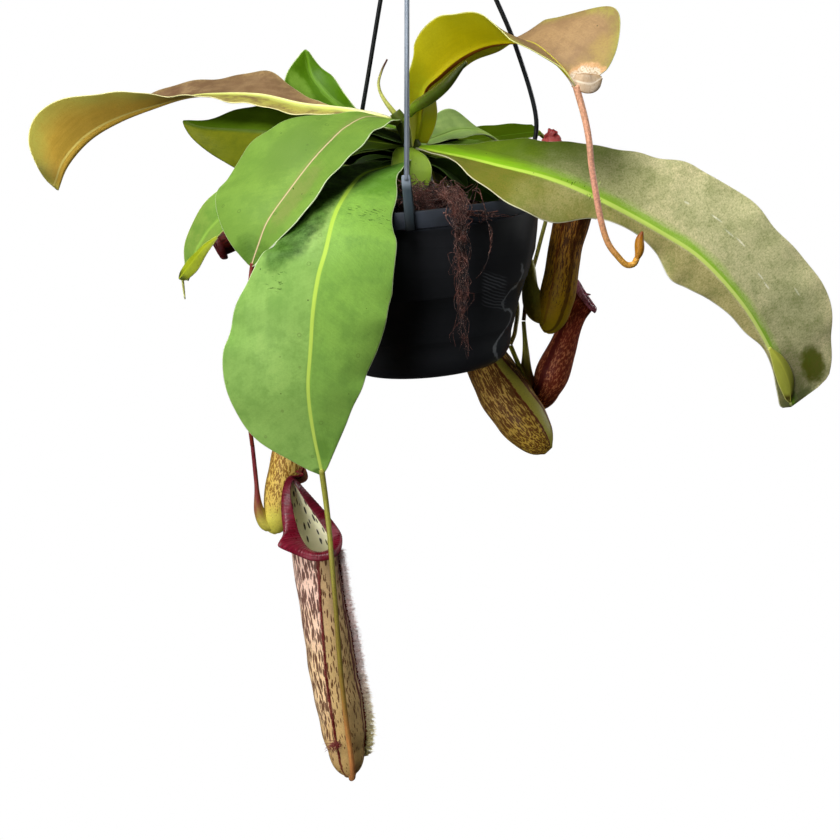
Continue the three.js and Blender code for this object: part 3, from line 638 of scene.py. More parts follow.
PITCHERS = {
    "pitcher_front": {
        "spine": [
            [-39, -127, -650], [-41, -126, -634], [-45, -124, -604], [-50, -122, -575],
            [-53, -121, -546], [-56, -120, -518], [-58, -120, -489],
        ],
        "radii": [4, 13, 15.3, 15.6, 15.6, 15.3, 15.5, 15.5],
        "front": [0.34, -0.94, 0],
        "neck": [-12, 1, 42],
        "pinch": (0.3, 0.8),
        "flare": [4.5, 9.5, 2.5],
        "corners": ((-1.15, 15, 0.22), (0.95, 4.5, 0.35)),
        "raise": 4,
        "inward": [0, 1.5, 2, 2, 1.5, 3],
        "lid": [[-71, -99, -447], [-68, -97, -441]],
        "lidUp": [0, 0.8, 0.5],
        "lidHalf": [2, 5, 6, 4, 1],
    },
    "pitcher_right_upper": {
        "tail": [[88, 52, -317], [91, 47, -330], [91, 43, -346], [97, 41, -360], [106, 39, -362]],
        "tailRadii": [1.8, 3.5, 6, 9, 9],
        "spine": [
            [100, 40, -374], [105, 39, -370], [109, 38, -357], [112.5, 37, -337],
            [115.5, 37, -313], [121.5, 37, -287],
        ],
        "radii": [4, 11, 13, 13, 12.4, 12.2, 12.6, 13],
        "base": 0.22,
        "front": [1, -0.3, 0],
        "neck": [2, 4, 22],
        "flare": [4, 6, 2.5],
        "lid": [[122, 41, -256], [134, 38, -257]],
        "lidUp": [0, 0, 1],
        "lidHalf": [2, 9, 12, 9, 1],
    },
    "pitcher_right_lower": {
        "tail": [
            [89, 74.4, -375.3], [91, 73, -398], [92, 72, -418], [96, 71, -430], [102, 70, -430],
        ],
        "tailRadii": [1.6, 2, 3.5, 6, 8],
        "spine": [
            [96, 70, -441], [103, 69, -435], [109, 68, -423], [115, 67, -406], [122, 68, -387],
            [128.5, 70, -370], [135, 71, -360.5],
        ],
        "radii": [3, 10, 13, 13, 11, 9, 8.3, 8.5],
        "base": 0.2,
        "front": [0.7, -0.5, -0.3],
        "neck": [0, 3, 11],
        "flare": [3, 4.5, 2],
        "lid": [[132, 77, -352], [140, 73, -354]],
        "lidUp": [0, 0, 1],
        "lidHalf": [1, 3, 3.5, 2.5, 0.8],
    },
    "pitcher_back": {
        "tail": [[79, 71, -394], [88, 58, -414], [98, 46, -434], [103, 36, -449], [98, 31, -456]],
        "tailRadii": [1.8, 1.9, 2, 2.6, 4.5],
        "spine": [
            [106, 26, -466], [98, 30, -458], [86, 38, -444], [74, 52, -428], [64, 70, -412],
            [55, 90, -398], [50, 104, -386],
        ],
        "radii": [4, 14, 19, 20, 19, 17, 16, 16],
        "base": 0.3,
        "front": [0.6, 0.4, 0.6],
        "neck": [-10, 8, 16],
        "flare": [4, 6, 2.5],
        "lid": [[40, 124, -349], [50, 134, -352]],
        "lidUp": [-0.3, 0.2, 1],
        "lidHalf": [2, 8, 11, 8, 1],
    },
    "pitcher_left": {
        "tail": [
            [-106.4, -61.6, -436.6], [-105, -60, -462], [-104, -58, -484], [-99, -56, -495],
            [-93, -54, -492],
        ],
        "tailRadii": [1.4, 1.5, 1.8, 4, 6.5],
        "spine": [
            [-96, -55, -502], [-93, -54, -495], [-90, -52, -480], [-86, -50, -460],
            [-82, -48, -440], [-79, -47, -424],
        ],
        "radii": [3, 10, 12, 12, 11.5, 11],
        "base": 0.2,
        "front": [-1, -0.3, 0],
        "neck": [4, 3, 18],
        "flare": [3.5, 5, 2],
        "lid": [[-71, -44, -400], [-81, -46, -401]],
        "lidUp": [0, 0, 1],
        "lidHalf": [2, 7, 9, 7, 1],
    },
    "pitcher_far_left": {
        "tail": [[-87, 24.7, -271.1], [-90, 21, -274], [-96, 18, -279], [-103, 16, -285]],
        "tailRadii": [1.6, 3, 5, 6],
        "spine": [
            [-92, 20, -276], [-98, 18, -281], [-106, 15, -288], [-114, 12, -296], [-124, 8, -303],
            [-134, 5, -307],
        ],
        "radii": [3, 6, 8, 8.5, 8.5, 8.5],
        "front": [0, -0.4, -1],
        "neck": [-5, 1, 6],
        "flare": [3, 4, 2],
        "lid": [[-147, 5, -292], [-154, 3, -299]],
        "lidUp": [0, 0, 1],
        "lidHalf": [1.5, 5, 7, 5, 1],
    },
}
STRANDS = {
    "strand_front": {
        "azimuth": -92.7,
        "aside": 1.8,
        "points": [[0, -2, -57], [0, -33, -120], [0, -62, -186], [0, -92.5, -256]],
    },
    "strand_right": {
        "azimuth": 22,
        "points": [
            [2, 1, -57], [38, 10, -98], [59, 15, -139], [76, 22, -175], [91, 32, -220],
            [88, 35, -250],
        ],
    },
    "strand_left": {
        "azimuth": 121,
        "points": [[-1, 2, -57], [-17, 30, -130], [-31, 56, -200], [-43, 79, -258]],
    },
}
SHOOTS = {
    "shoot_left": {
        "points": [[-3, -2, -224], [-16, 2, -208], [-20, 2, -198], [-18, 2, -189], [-14, 2, -181]],
        "radii": [2.2, 1.8, 1.2, 0.9, 0.6],
    },
    "shoot_right": {
        "points": [
            [-1, -5, -221], [4, -23, -213], [15, -34, -206], [25, -44, -198], [33, -50, -189],
            [38, -54, -184],
        ],
        "radii": [2.2, 3, 4, 4, 3, 1],
    },
    "bud_tendril": {
        "points": [
            [143.3, -105, -303], [144.6, -105, -298], [144.6, -104.5, -291], [146.2, -104, -286],
        ],
        "radii": [1.5, 2.9, 2.7, 0.8],
    },
    "bud_back": {
        "points": [[110, 89.5, -262], [110, 89.5, -250], [109, 89.5, -238], [109, 88.5, -230]],
        "radii": [4, 8.5, 10, 9.5, 6.5, 2],
    },
}
print(len(LEAVES), "leaves and", len(PITCHERS), "pitchers")

# %% [markdown]
# A blade is a closed thin skin. Round its section the formula runs over the upper side from the
# left edge to the right, and back along the underside. The midrib is a soft ridge above and a
# thick keel below, and the margin waves a little. The marks tell the finish how far each point
# is from the rib, from the edge and along the leaf, and which side it is on.

# %% Roll a blade
BLADE_HALF = 0.42
EDGE_WAVE = 1.0
RIM = 1.2


def bend(width, share, fold, curl):
    """How far a point of half a blade lies sideways and upwards, and how it is turned."""
    start = np.radians(fold)
    turn = np.radians(curl)
    turn = np.where(np.abs(turn) < 1e-3, 1e-3, turn)
    end = start + turn * share
    reach = width / turn
    return reach * (np.sin(end) - np.sin(start)), reach * (np.cos(start) - np.cos(end)), end


def blade(name, leaf, across=64, rows=120, keel=1.5, wave=EDGE_WAVE, seed=0.0):
    line = Line(leaf["spine"])
    columns = across // 4

    def formula(u, v):
        share, open_end = with_ends(v, rows)
        upper = u <= 0.5
        turn = np.where(upper, 4 * u - 1, 3 - 4 * u)
        left = turn < 0
        place, _, top, side = line.facing(share, leaf["up"])
        run = share * line.length

        def station(key):
            """A value of each half, such as its fold, and flat where none is given."""
            both = leaf.get(key.lower(), (0, 0))
            first = smooth(leaf.get("left" + key, both), share)
            second = smooth(leaf.get("right" + key, both), share)
            return np.where(left, first, second)

        fold = station("Fold")
        curl = station("Curl")
        width = np.where(left, smooth(leaf["left"], share), smooth(leaf["right"], share))
        past = np.clip(1 - (line.length - run) / leaf.get("round", 1), 0, 1)
        width = width * np.sqrt(1 - past ** 2)
        width = width * (1 + 0.015 * wave * np.sin(run / 6 + seed * 5 + np.where(left, 0, 2)))
        width = np.maximum(width, 1.0) * open_end
        column = np.abs(turn) * columns
        rim = np.minimum(RIM / np.maximum(width, 1), 0.3)
        inner = np.clip(column / (columns - 2), 0, 1) ** 1.35 * (1 - rim)
        outer = 1 - rim * np.interp(column, [columns - 2, columns - 1, columns], [1, 0.35, 0])
        reach = np.where(column < columns - 1.5, inner, outer)
        out, rise, angle = bend(width, reach, fold, curl)
        sign = np.sign(turn)
        normal = top * np.cos(angle)[:, None] - side * (sign * np.sin(angle))[:, None]
        half = BLADE_HALF * np.interp(column, [columns - 2, columns - 1, columns], [1, 0.8, 0])
        from_rib = width * reach
        stout = smooth([1.4, 1.0, 0.8, 0.7, 0.5], share) * min(1, keel)
        ridge = np.exp(-((from_rib / 1.8) ** 2)) * stout
        high = np.where(upper, half + 0.25 * ridge, -half - keel * ridge) * open_end
        swing = np.sin(run / 9 + seed + np.where(left, 0, 2.2))
        swing += 0.6 * np.sin(run / 4.1 + seed * 3 + np.where(left, 1, 0))
        lift = wave * swing * reach ** 3 * np.sin(math.pi * np.clip(share, 0, 1)) ** 0.5
        swell = 0.7 * np.sin(run / 17 + seed * 2 + reach * 3)
        lift += swell * reach * (1 - reach) * np.clip(width / 20, 0, 1) * 2
        high = high + lift * open_end
        points = place + side * (sign * out)[:, None] + top * rise[:, None]
        points = points + normal * high[:, None]
        marks = {
            "blade": np.stack([sign * from_rib, run, width - from_rib], axis=1),
            "under": np.where(column > columns - 0.5, 0.5, np.where(upper, 0.0, 1.0)),
            "along": share,
        }
        return points, marks

    return sheet(name, across, rows, formula)


print("blades can be rolled")

# %% [markdown]
# A leaf's colour comes in layers: broad light and dark green, a fine grain, veins that run beside
# the rib, the bright rib with a glow next to it, a pale line along the edge, and dark specks. A
# darker base and some dark patches are painted shade where the crown and other leaves cover the
# blade. The underside has its own colours. Each layer is laid over the last by a mask.

# %% Finish of a leaf
LEAF_LOOK = {
    "upper": ("6f9f45", "527f30"), "base": ("6f9f45", 0.0, 0.0), "far": ("6f9f45", 0.9, 1.0),
    "left": ("6f9f45", "6f9f45", 0.0), "right": ("6f9f45", "6f9f45", 0.0),
    "margin": ("6f9f45", 0.0),
    "edge": "c3cf96", "rib": ("a9c447", "b9c95a", 1.6, 1.0), "halo": ("86b040", 5.0, 5.0, 0.4),
    "under": ("8f9440", "6f7a2a"), "under_base": ("8f9440", 0.0, 0.0),
    "under_rib_at": 0.0, "under_margin": ("8fa040", 0.0), "under_rib": ("b5b94a", 1.4),
    "grain": 0.5, "veins": 0.25, "mottle": 0.3, "rungs": 0.12, "specks": 0.5, "stipple": 0.1,
    "spec": 0.08,
    "dry": 0.0, "dry_middle": 0.0, "rough": 0.42, "patches": (), "scars": (), "rings": 0.0,
}


def leaf_finish(name, length, **changes):
    look = LEAF_LOOK | changes
    finish = Finish(name, Roughness=look["rough"], Specular_IOR_Level=look["spec"])
    across, run, margin = finish.attribute("blade").parts()
    under = finish.attribute("under", "Fac")
    along = finish.attribute("along", "Fac")
    from_rib = abs(across)
    broad = finish.noise(22, detail=4).rising(0.38, 0.62)
    fine = finish.noise(900, detail=2).rising(0.3, 0.7)
    flow = finish.join_xyz(across * 0.35, run * 0.035 + from_rib * 0.02, under)
    veins = finish.noise(1.0, flow, detail=4, roughness=0.7).rising(0.35, 0.65)
    cross = finish.join_xyz(across * 0.03, run * 0.5 - from_rib * 0.35, under)
    rungs = finish.noise(1.0, cross, detail=3, roughness=0.6).rising(0.35, 0.65)
    ragged = finish.noise(0.25, finish.join_xyz(across, run, 0), detail=4) - 0.5

    def spot(across_place, run_place, wide, long):
        """1 inside a soft ragged oval on the blade and 0 outside it."""
        first = (across - across_place) / wide
        second = (run - run_place) / long
        return (first * first + second * second + ragged * 1.2).falling(0.35, 1.5)

    light, dark = look["upper"]
    upper = finish.mix(broad * 0.6 + veins * look["veins"], tint(light), tint(dark))
    colour, start, end = look["far"]
    upper = finish.mix((along + broad * 0.08).rising(start, end), upper, tint(colour))
    for key, mask in (("left", across.falling(-3, 0)), ("right", across.rising(0, 3))):
        near, far, amount = look[key]
        if amount:
            half_colour = finish.mix((along + broad * 0.1).rising(0.2, 0.8), tint(near), tint(far))
            upper = finish.mix(mask * (amount - broad * 0.15), upper, half_colour)
    # A darker base is painted shade where the crown covers the start of the leaf.
    colour, start, end = look["base"]
    if end:
        upper = finish.mix((along + ragged * 0.1).falling(start, end), upper, tint(colour))
    colour, amount = look["margin"]
    if amount:
        upper = finish.mix((margin + broad * 4).falling(2, 14) * amount, upper, tint(colour))
    # Patches are soft areas of a given colour; some are the leaf's own marks, and some on the front
    # leaf are painted shadow.
    for across_place, run_place, wide, long, colour, amount in look["patches"]:
        mask = spot(across_place, run_place, wide, long) * amount
        upper = finish.mix(mask, upper, tint(colour))
    blurred = finish.noise(75, detail=5, roughness=0.7).rising(0.42, 0.66)
    upper = finish.mix(blurred * look["mottle"], upper, tint(dark))
    dashes = finish.noise(1.0, finish.join_xyz(across * 0.5, run * 1.1, under), detail=3)
    stipple = dashes.rising(0.52, 0.62) * look["stipple"]
    shade = fine * look["grain"] * 0.35 + rungs * look["rungs"] + stipple
    upper = finish.mix(shade, upper, finish.mix(0.5, upper, tint(dark)))
    colour, left_reach, right_reach, amount = look["halo"]
    reach = across.rising(-0.5, 0.5) * (right_reach - left_reach) + left_reach
    glow = (from_rib + veins * 2) / (reach * (1.25 - along * 0.6))
    upper = finish.mix(glow.falling(0.15, 1.0) * amount, upper, tint(colour))
    near, far, wide, narrow = look["rib"]
    width = along * (narrow - wide) + wide
    rib_colour = finish.mix(along, tint(near), tint(far))
    upper = finish.mix((from_rib / width).falling(0.35, 0.75), upper, rib_colour)
    for place in look["scars"]:
        dashes = finish.noise(1.0, finish.join_xyz(across * 0.2, run * 0.75, 0), detail=2)
        mask = dashes.rising(0.6, 0.64) * spot(*place)
        upper = finish.mix(mask * 0.75, upper, tint("2f4a10"))
    light, dark = look["under"]
    below = finish.mix(broad * 0.6 + veins * 0.3, tint(light), tint(dark))
    colour, start, end = look["under_base"]
    if end:
        below = finish.mix((along + ragged * 0.1).falling(start, end), below, tint(colour))
    colour, amount = look["under_margin"]
    if amount:
        below = finish.mix((margin + broad * 8).falling(4, 26) * amount, below, tint(colour))
    below = finish.mix(fine * look["grain"] * 0.3 + stipple * 0.6, below, tint(dark))
    colour, width = look["under_rib"]
    rib_line = abs(across - along * look["under_rib_at"]) / width
    below_rib = rib_line.falling(0.6, 1.0) * along.rising(0.05, 0.2)
    below = finish.mix(below_rib, below, tint(colour))
    blade_colour = finish.mix(under.rising(0.4, 0.6), upper, below)
    if look["dry"]:
        sideways = across - look["dry_middle"]
        to_tip = length - run
        from_tip = (sideways * sideways + to_tip * to_tip) / look["dry"] ** 2 + ragged * 1.2
        tan = finish.mix(fine, tint("c9a070"), tint("b98d5c"))
        blade_colour = finish.mix(from_tip.falling(1.0, 1.5), blade_colour, tan)
        cream = finish.mix(fine * veins + blurred * 0.4, tint("dccfb8"), tint("a88c68"))
        blade_colour = finish.mix(from_tip.falling(0.7, 1.0), blade_colour, cream)
    dots = finish.cells(170)
    chosen = finish.cells(170, output="Color").parts()[0]
    specks = dots.falling(0.05, 0.11) * chosen.rising(0.9, 0.92) * look["specks"]
    if look["rings"]:
        circle = abs(dots - 0.2).falling(0.02, 0.07) * chosen.falling(0.05, 0.06)
        specks = specks + circle * look["rings"]
    blade_colour = finish.mix(specks, blade_colour, tint("2a3312"))
    blade_colour = finish.mix(margin.falling(0.35, 0.8) * 0.85, blade_colour, tint(look["edge"]))
    finish.colour(blade_colour)
    finish.rough(look["rough"] + 0.1 * broad - 0.08 * veins + under * 0.1)
    finish.bump(veins * 0.4 + fine * 0.25 + rungs * 0.25, 0.0002, 0.5)
    return finish


print("a leaf's finish has", len(LEAF_LOOK), "settings")

# %% [markdown]
# Each leaf has its own colours. The old ones in front are fresh green, the ones that stand in full
# sun have turned mauve-brown above and golden below, and the inner ones are dark; on the mid left,
# back right and low right leaves that dark green is painted shade from the leaves above.

# %% Colours of the leaves
LEAF_CHANGES = {
    "leaf_front_large": {
        "upper": ("86a850", "648c3c"), "left": ("7cac3c", "84b048", 0.6),
        "right": ("a2c070", "94b860", 0.5), "far": ("7a9c4a", 0.75, 0.98), "edge": "cfdcae",
        "rib": ("9cc43a", "b4c858", 2.8, 1.6), "halo": ("8ab848", 4, 4, 0.5), "specks": 0.8,
        "rings": 0.25,
        "base": ("3c6210", 0.1, 0.32), "mottle": 0.55, "grain": 0.9, "rungs": 0.25,
        "stipple": 0.25,
        # The first six patches are painted shadow cast by the leaves above, darkest below the front
        # left leaf; the last two are dark marks near the tip.
        "patches": [
            (-16, 60, 22, 32, "3c6a10", 0.75), (10, 62, 14, 34, "142c02", 0.95),
            (14, 92, 14, 26, "142c02", 0.95), (17, 118, 13, 22, "1a3603", 0.95),
            (22, 140, 11, 17, "1f3f05", 0.92), (28, 152, 9, 12, "2c5008", 0.85),
            (-3, 272, 5, 8, "4a7424", 0.5), (2, 287, 4, 3, "35541a", 0.8),
        ],
        "scars": [(-24, 108, 22, 11), (26, 168, 7, 8)],
    },
    "leaf_front_left": {
        "upper": ("78983f", "5e7f30"), "right": ("76983c", "76983c", 0.6),
        "left": ("6c8c34", "6c8c34", 0.5), "far": ("5a7a30", 0.86, 1.0),
        "edge": "cfdcb0", "rib": ("c4ae88", "bfa484", 1.0, 0.8), "halo": ("8c8454", 3, 5, 0.3),
        "specks": 0.8, "rings": 0.3, "rungs": 0.35, "spec": 0.12, "mottle": 0.6, "grain": 0.9,
        "stipple": 0.25,
        "patches": [
            (-8, 125, 8, 28, "7d7848", 0.5), (20, 90, 16, 30, "54702c", 0.5),
            (-2, 171, 14, 10, "3c5a18", 0.8), (8, 168, 10, 10, "3c5a18", 0.7),
        ],
    },
    "leaf_far_left": {
        "upper": ("a08660", "6c5238"), "left": ("bcbc50", "9a9440", 0.95),
        "far": ("6c4c38", 0.6, 0.68), "edge": "e4e0a4", "rib": ("f4f4b0", "cfd05a", 3.0, 1.2),
        "halo": ("dce878", 11, 2, 0.95), "specks": 0.6, "under": ("d4ac46", "b09034"),
        # The underside's brighter, even gold up to 0.68 of its length is the leaf's own gold made
        # brighter as painted light against the shade on its middle.
        "under_base": ("d8b044", 0.68, 0.85), "under_margin": ("aeb050", 0.8),
        "under_rib": ("e0cc6c", 0.9), "under_rib_at": -4.5, "margin": ("a8905c", 0.5),
        "mottle": 0.8, "stipple": 0.45, "spec": 0.1,
    },
    "leaf_upper_right": {
        "upper": ("a4865c", "846848"), "far": ("a0884c", 0.9, 1.0), "margin": ("94943c", 0.85),
        "edge": "c8c880", "rib": ("c0bc3c", "b8ac40", 1.8, 1.2), "halo": ("a88848", 3, 3, 0.4),
        "under": ("c8b80c", "b0a404"), "under_base": ("9aac1c", 0.15, 0.3), "mottle": 0.7,
        "under_margin": ("bcb81c", 0.6), "under_rib": ("74400e", 1.1), "dry": 13,
        "dry_middle": -7, "specks": 0.9, "grain": 1.4, "stipple": 0.35,
    },
    "leaf_right_large": {
        # The pale grey cream towards the tip is the leaf's own paler colour with a painted sheen of
        # white light in it.
        "upper": ("647a1a", "506818"), "far": ("dcd2a2", 0.22, 0.62),
        "right": ("7c7030", "b8a86c", 0.8),
        "edge": "d3d1b0", "rib": ("a4c838", "d3e080", 3.2, 1.3), "halo": ("82b41c", 12, 3, 0.9),
        "under": ("b4bc48", "9aa83c"), "under_margin": ("b4bc48", 0.5), "grain": 1.8,
        "specks": 0.6, "mottle": 0.35, "stipple": 0.45,
        "patches": [
            (-5, 322, 17, 22, "807858", 0.75), (-24, 325, 9, 15, "58560c", 0.95),
            (-5, 343, 16, 7, "66684a", 0.75),
            (-30, 240, 26, 60, "94a070", 0.3), (-24, 290, 22, 22, "94946c", 0.45),
            (-29.1, 212, 0.6, 3.5, "f0ecd0", 0.9), (-26.5, 222, 0.6, 3.5, "f0ecd0", 0.9),
            (-27.4, 231, 0.6, 4, "f0ecd0", 0.9), (-27.5, 192.6, 0.8, 2, "f0ecd0", 0.8),
            (-21.9, 255, 0.6, 3, "f0ecd0", 0.9), (-21.2, 262, 0.6, 3, "f0ecd0", 0.9),
            (-36, 277.5, 0.6, 3, "f0ecd0", 0.7), (-11, 136, 2.5, 0.7, "d8e090", 0.8),
        ],
        "scars": [(-3, 122, 2.5, 10), (2, 138, 2.5, 7)],
    },
    "leaf_back_left": {
        "upper": ("466c06", "345402"), "edge": "b4c484", "rib": ("5a8410", "5a8410", 0.8, 0.6),
        "far": ("486e08", 0.6, 0.9), "patches": [(-14, 112, 7, 14, "7ca03c", 0.6)],
        "right": ("345402", "466c06", 0.6),
    },
    # The mid left leaf's near-black upper side and dark base are painted shade under the leaves
    # above it.
    "leaf_mid_left": {
        "upper": ("445c0c", "2c3c04"), "far": ("344a06", 0.6, 0.9), "edge": "3c4a10",
        "base": ("1c2802", 0.3, 0.5), "left": ("585c02", "626608", 0.95),
        "rib": ("3c4a08", "3c4a08", 0.8, 0.6), "halo": ("3c4a08", 2, 2, 0.2),
        "under": ("5f6606", "4a5002"), "under_rib": ("60681a", 1.0),
        "spec": 0.04,
    },
    "leaf_low_left": {
        "upper": ("72983c", "52782a"), "far": ("70883a", 0.6, 0.9), "edge": "b9c26a",
        "under": ("8f9a28", "75801a"), "rib": ("7c9c40", "7c9c40", 1.0, 0.8), "mottle": 0.6,
        "base": ("1c2c06", 0.3, 0.55),
    },
    # The back right leaf's dark green is painted shade in the crown.
    "leaf_back_right": {
        "upper": ("4c6008", "344a02"), "far": ("3c5004", 0.6, 0.9), "edge": "6f8a30",
        "rib": ("4a6614", "4a6614", 1.2, 0.8), "halo": ("4a6614", 2, 2, 0.3), "spec": 0.04,
    },
    "leaf_inner_right": {
        "upper": ("9cb468", "74904e"), "far": ("88984a", 0.6, 0.9), "edge": "a9c080",
        "rib": ("98b060", "98b060", 1.4, 0.8), "mottle": 0.5,
    },
    "leaf_front_small": {
        "upper": ("86a02e", "6a8426"), "far": ("70882a", 0.6, 0.9), "edge": "b0c070",
        "rib": ("7c9c3c", "7c9c3c", 0.9, 0.6), "mottle": 0.5,
    },
    "leaf_back_low": {"upper": ("4f6c1c", "3c5214"), "far": ("5b6f20", 0.7, 1.0)},
    "leaf_low_back_left": {"upper": ("3f561c", "2c4012")},
    # The low right leaf's near-black green is painted shade under the right leaf.
    "leaf_low_right": {
        "upper": ("1f3408", "142404"), "far": ("24380a", 0.6, 0.9), "edge": "3c5420",
        "rib": ("2c4410", "2c4410", 1.0, 0.6), "halo": ("2c4410", 2, 2, 0.2),
    },
}
print("colours for", len(LEAF_CHANGES), "leaves")

# %% Make the leaves
LARGE = ("leaf_front_large", "leaf_front_left", "leaf_far_left", "leaf_upper_right",
         "leaf_right_large")
SEEN_FROM_BELOW = ("leaf_far_left", "leaf_upper_right")
for number, (name, leaf) in enumerate(LEAVES.items()):
    across, rows = (72, 150) if name in LARGE else (48, 70)
    piece = blade(f"blade_{name[5:]}", leaf, across, rows, seed=number * 1.7)
    finish = leaf_finish(name, Line(leaf["spine"]).length, **LEAF_CHANGES[name])
    finished(piece, finish, "leaf_underside" if name in SEEN_FROM_BELOW else "leaf", name)

# %% [markdown]
# Between the leaves the crown is full of small leaf bases, coloured near black as painted shade of
# the deep crown. They all grow from the stem, and they close the gaps through which the white room
# would shine. Each is a blade of its own rather than one lump, so that light still falls between
# them. Six more small blades are parts of leaves that are turned over, dried or half hidden.

# %% Fill the crown
CROWN = [
    [[0, 2, -246], [-20, 8, -243], [-42, 14, -246], [-60, 18, -254]],
    [[2, 3, -240], [-12, 16, -234], [-28, 30, -232], [-40, 40, -236]],
    [[4, 4, -244], [16, 18, -238], [26, 34, -236], [32, 48, -240]],
    [[0, -2, -250], [-16, -10, -250], [-30, -16, -254], [-42, -20, -262]],
    [[6, -2, -252], [18, -10, -252], [30, -16, -257], [40, -20, -266]],
    [[2, 0, -250], [-18, 2, -249], [-38, 4, -252], [-58, 4, -262]],
    [[4, 6, -252], [-14, 22, -250], [-36, 34, -252], [-58, 42, -260]],
]
# The crown leaves' near-black greens are painted shade.
crown_shade_finish = leaf_finish(
    "crown_leaf_painted_shade", 60, upper=("24360a", "162404"), far=("24360a", 0.8, 1.0), edge="3c5420",
    rib=("2c4410", "2c4410", 1.0, 0.6), halo=("2c4410", 2, 2, 0.2), under=("24360a", "162404"),
    under_rib=("2c4410", 0.8),
)
for number, spine in enumerate(CROWN):
    leaf = {"spine": spine, "up": [[0, -0.2, 1], [0, -0.3, 1]], "fold": [25, 15], "curl": [0, 0],
            "left": [4, 11, 12, 2], "right": [4, 11, 12, 2]}
    piece = blade(f"crown_{number}", leaf, 24, 30, seed=number * 2.3)
    finished(piece, crown_shade_finish, "leaf", "stem")

# The extra blades: their ribs, widths, which way their upper side looks, colours and the solid
# that each belongs to.
EXTRAS = {
    "turned_tip": (
        [[239.5, -72, -366], [248, -71.5, -377], [255, -69, -391], [258.5, -65, -405]],
        [1, 6, 6.5, 2.5], [0.3, -1, 0.2], ("acb044", "94983c"), ("3c2c10", 0.82, 0.92), "c8c870",
        "leaf_right_large",
    ),
    "turned_left": (
        [[-127, -47, -296], [-137, -46, -304.5], [-146, -43, -314.5], [-155, -40, -325]],
        [1, 4.2, 6.4, 4], [-0.5, -0.85, 0.3], ("8c9820", "74800c"), ("30380a", 0.85, 0.97),
        "b4bc60", "leaf_low_left",
    ),
    "mid_right": (
        [[14, 0, -243], [32, 12, -242], [50, 18, -241.5], [70, 22, -246]],
        [3, 9, 10, 2], [0, -1, 0.6], ("6c8c34", "527020"), ("5c7c28", 0.8, 1.0), "b8cc80", "stem",
    ),
    "behind_tip": (
        [[-70, -88, -262], [-79, -84, -274], [-87, -81, -285], [-94, -78, -297]],
        [3, 8, 9, 3], [-0.4, -0.9, 0.2], ("2c5208", "1f3f05"), ("2c5208", 0.8, 1.0), "3c5c18",
        "leaf_front_left",
    ),
    "low_middle": (
        [[6, -2, -246], [20, 6, -248], [36, 14, -250], [54, 20, -254]],
        [4, 9, 9, 2], [0, -1, 0.6], ("34500c", "243c08"), ("34500c", 0.8, 1.0), "4c6820", "stem",
    ),
    "dry_tip": (
        [[101, -100, -195.5], [106, -102, -197], [112, -102, -197.5], [118, -100, -194]],
        [4, 5.5, 5.5, 3], [0.1, -1, 0.0], ("e4d4bc", "b49470"), ("c4a880", 0.7, 1.0), "9a7448",
        "leaf_upper_right",
    ),
}
for name, (spine, half, up, upper, far, edge, node) in EXTRAS.items():
    bow = -6 if name == "dry_tip" else -25
    leaf = {"spine": spine, "up": [up, up], "fold": [bow / 3] * 2, "curl": [bow] * 2, "round": 4,
            "left": half, "right": half}
    dark = upper[1]
    finish = leaf_finish(name, Line(spine).length, upper=upper, far=far, edge=edge,
                         rib=(upper[0], upper[0], 1.0, 0.6), halo=(upper[0], 2, 2, 0.2),
                         under=upper, under_rib=(dark, 0.8), mottle=0.5,
                         stipple=0.9 if name == "dry_tip" else 0.1)
    slot = "leaf_underside" if name == "dry_tip" else "leaf"
    wave = 0.9 if name == "dry_tip" else 0.4
    finished(blade(name, leaf, 24, 40, keel=0.3, wave=wave), finish, slot, node)

# %% [markdown]
# The rib of a pitcher plant's leaf runs on past the tip as a tendril, which carries the pitcher.
# A tendril is a thin tube, a little thicker where it meets the blade, and its colour
# changes along it from green to red or orange.

# %% Make the tendrils and shoots
def stalk_finish(name, near, middle, far, spots=0.3, stripe=()):
    finish = Finish(name, Roughness=0.45, Specular_IOR_Level=0.25)
    share, run, turn = finish.attribute("run").parts()
    streaks = finish.noise(1.0, finish.join_xyz(run * 0.06, turn.sine() * 1.5, 0), detail=4)
    streaks = streaks.rising(0.35, 0.65)
    mottle = finish.noise(700, detail=3).rising(0.4, 0.62)
    colour = finish.mix((share + mottle * 0.06).rising(0.1, 0.55), tint(near), tint(middle))
    colour = finish.mix((share + streaks * 0.1).rising(0.6, 1.0), colour, tint(far))
    darker = finish.mix(0.45, colour, tint("4a2a18"))
    colour = finish.mix(streaks * 0.35 + mottle * spots, colour, darker)
    for middle_turn, half, stripe_colour in stripe:
        band = abs(turn - middle_turn + streaks * 0.1).falling(half * 0.7, half)
        colour = finish.mix(band * share.rising(0.1, 0.25), colour, tint(stripe_colour))
    finish.colour(colour)
    finish.bump(streaks * 0.6 + mottle * 0.4, 0.00025, 0.6)
    return finish


TENDRIL_COLOURS = {
    "leaf_front_large": ("949438", "84742c", "c8844a"),
    "leaf_front_left": ("7a2420", "741820", "8a3028"),
    "leaf_upper_right": ("e4a884", "e8a488", "d09838", 0.6),
    "leaf_back_right": ("8f9a3c", "8a8a34", "7a5a30"),
    "leaf_inner_right": ("8f9a3c", "8a8a34", "8a7a34"),
    "leaf_back_low": ("8f9a3c", "8a9034", "8a7a34"),
    "leaf_low_back_left": ("7a4a2c", "74302a", "6a2020"),
}
SKIN_OVER_SOLID = 1.05
for name, colours in TENDRIL_COLOURS.items():
    leaf = LEAVES[name]
    radii = np.array(leaf["tendrilRadius"]) * SKIN_OVER_SOLID
    piece = tube(f"tendril_{name[5:]}", leaf["tendril"], radii, 12, 110)
    finished(piece, stalk_finish(f"tendril_{name[5:]}", *colours), "stem", name)

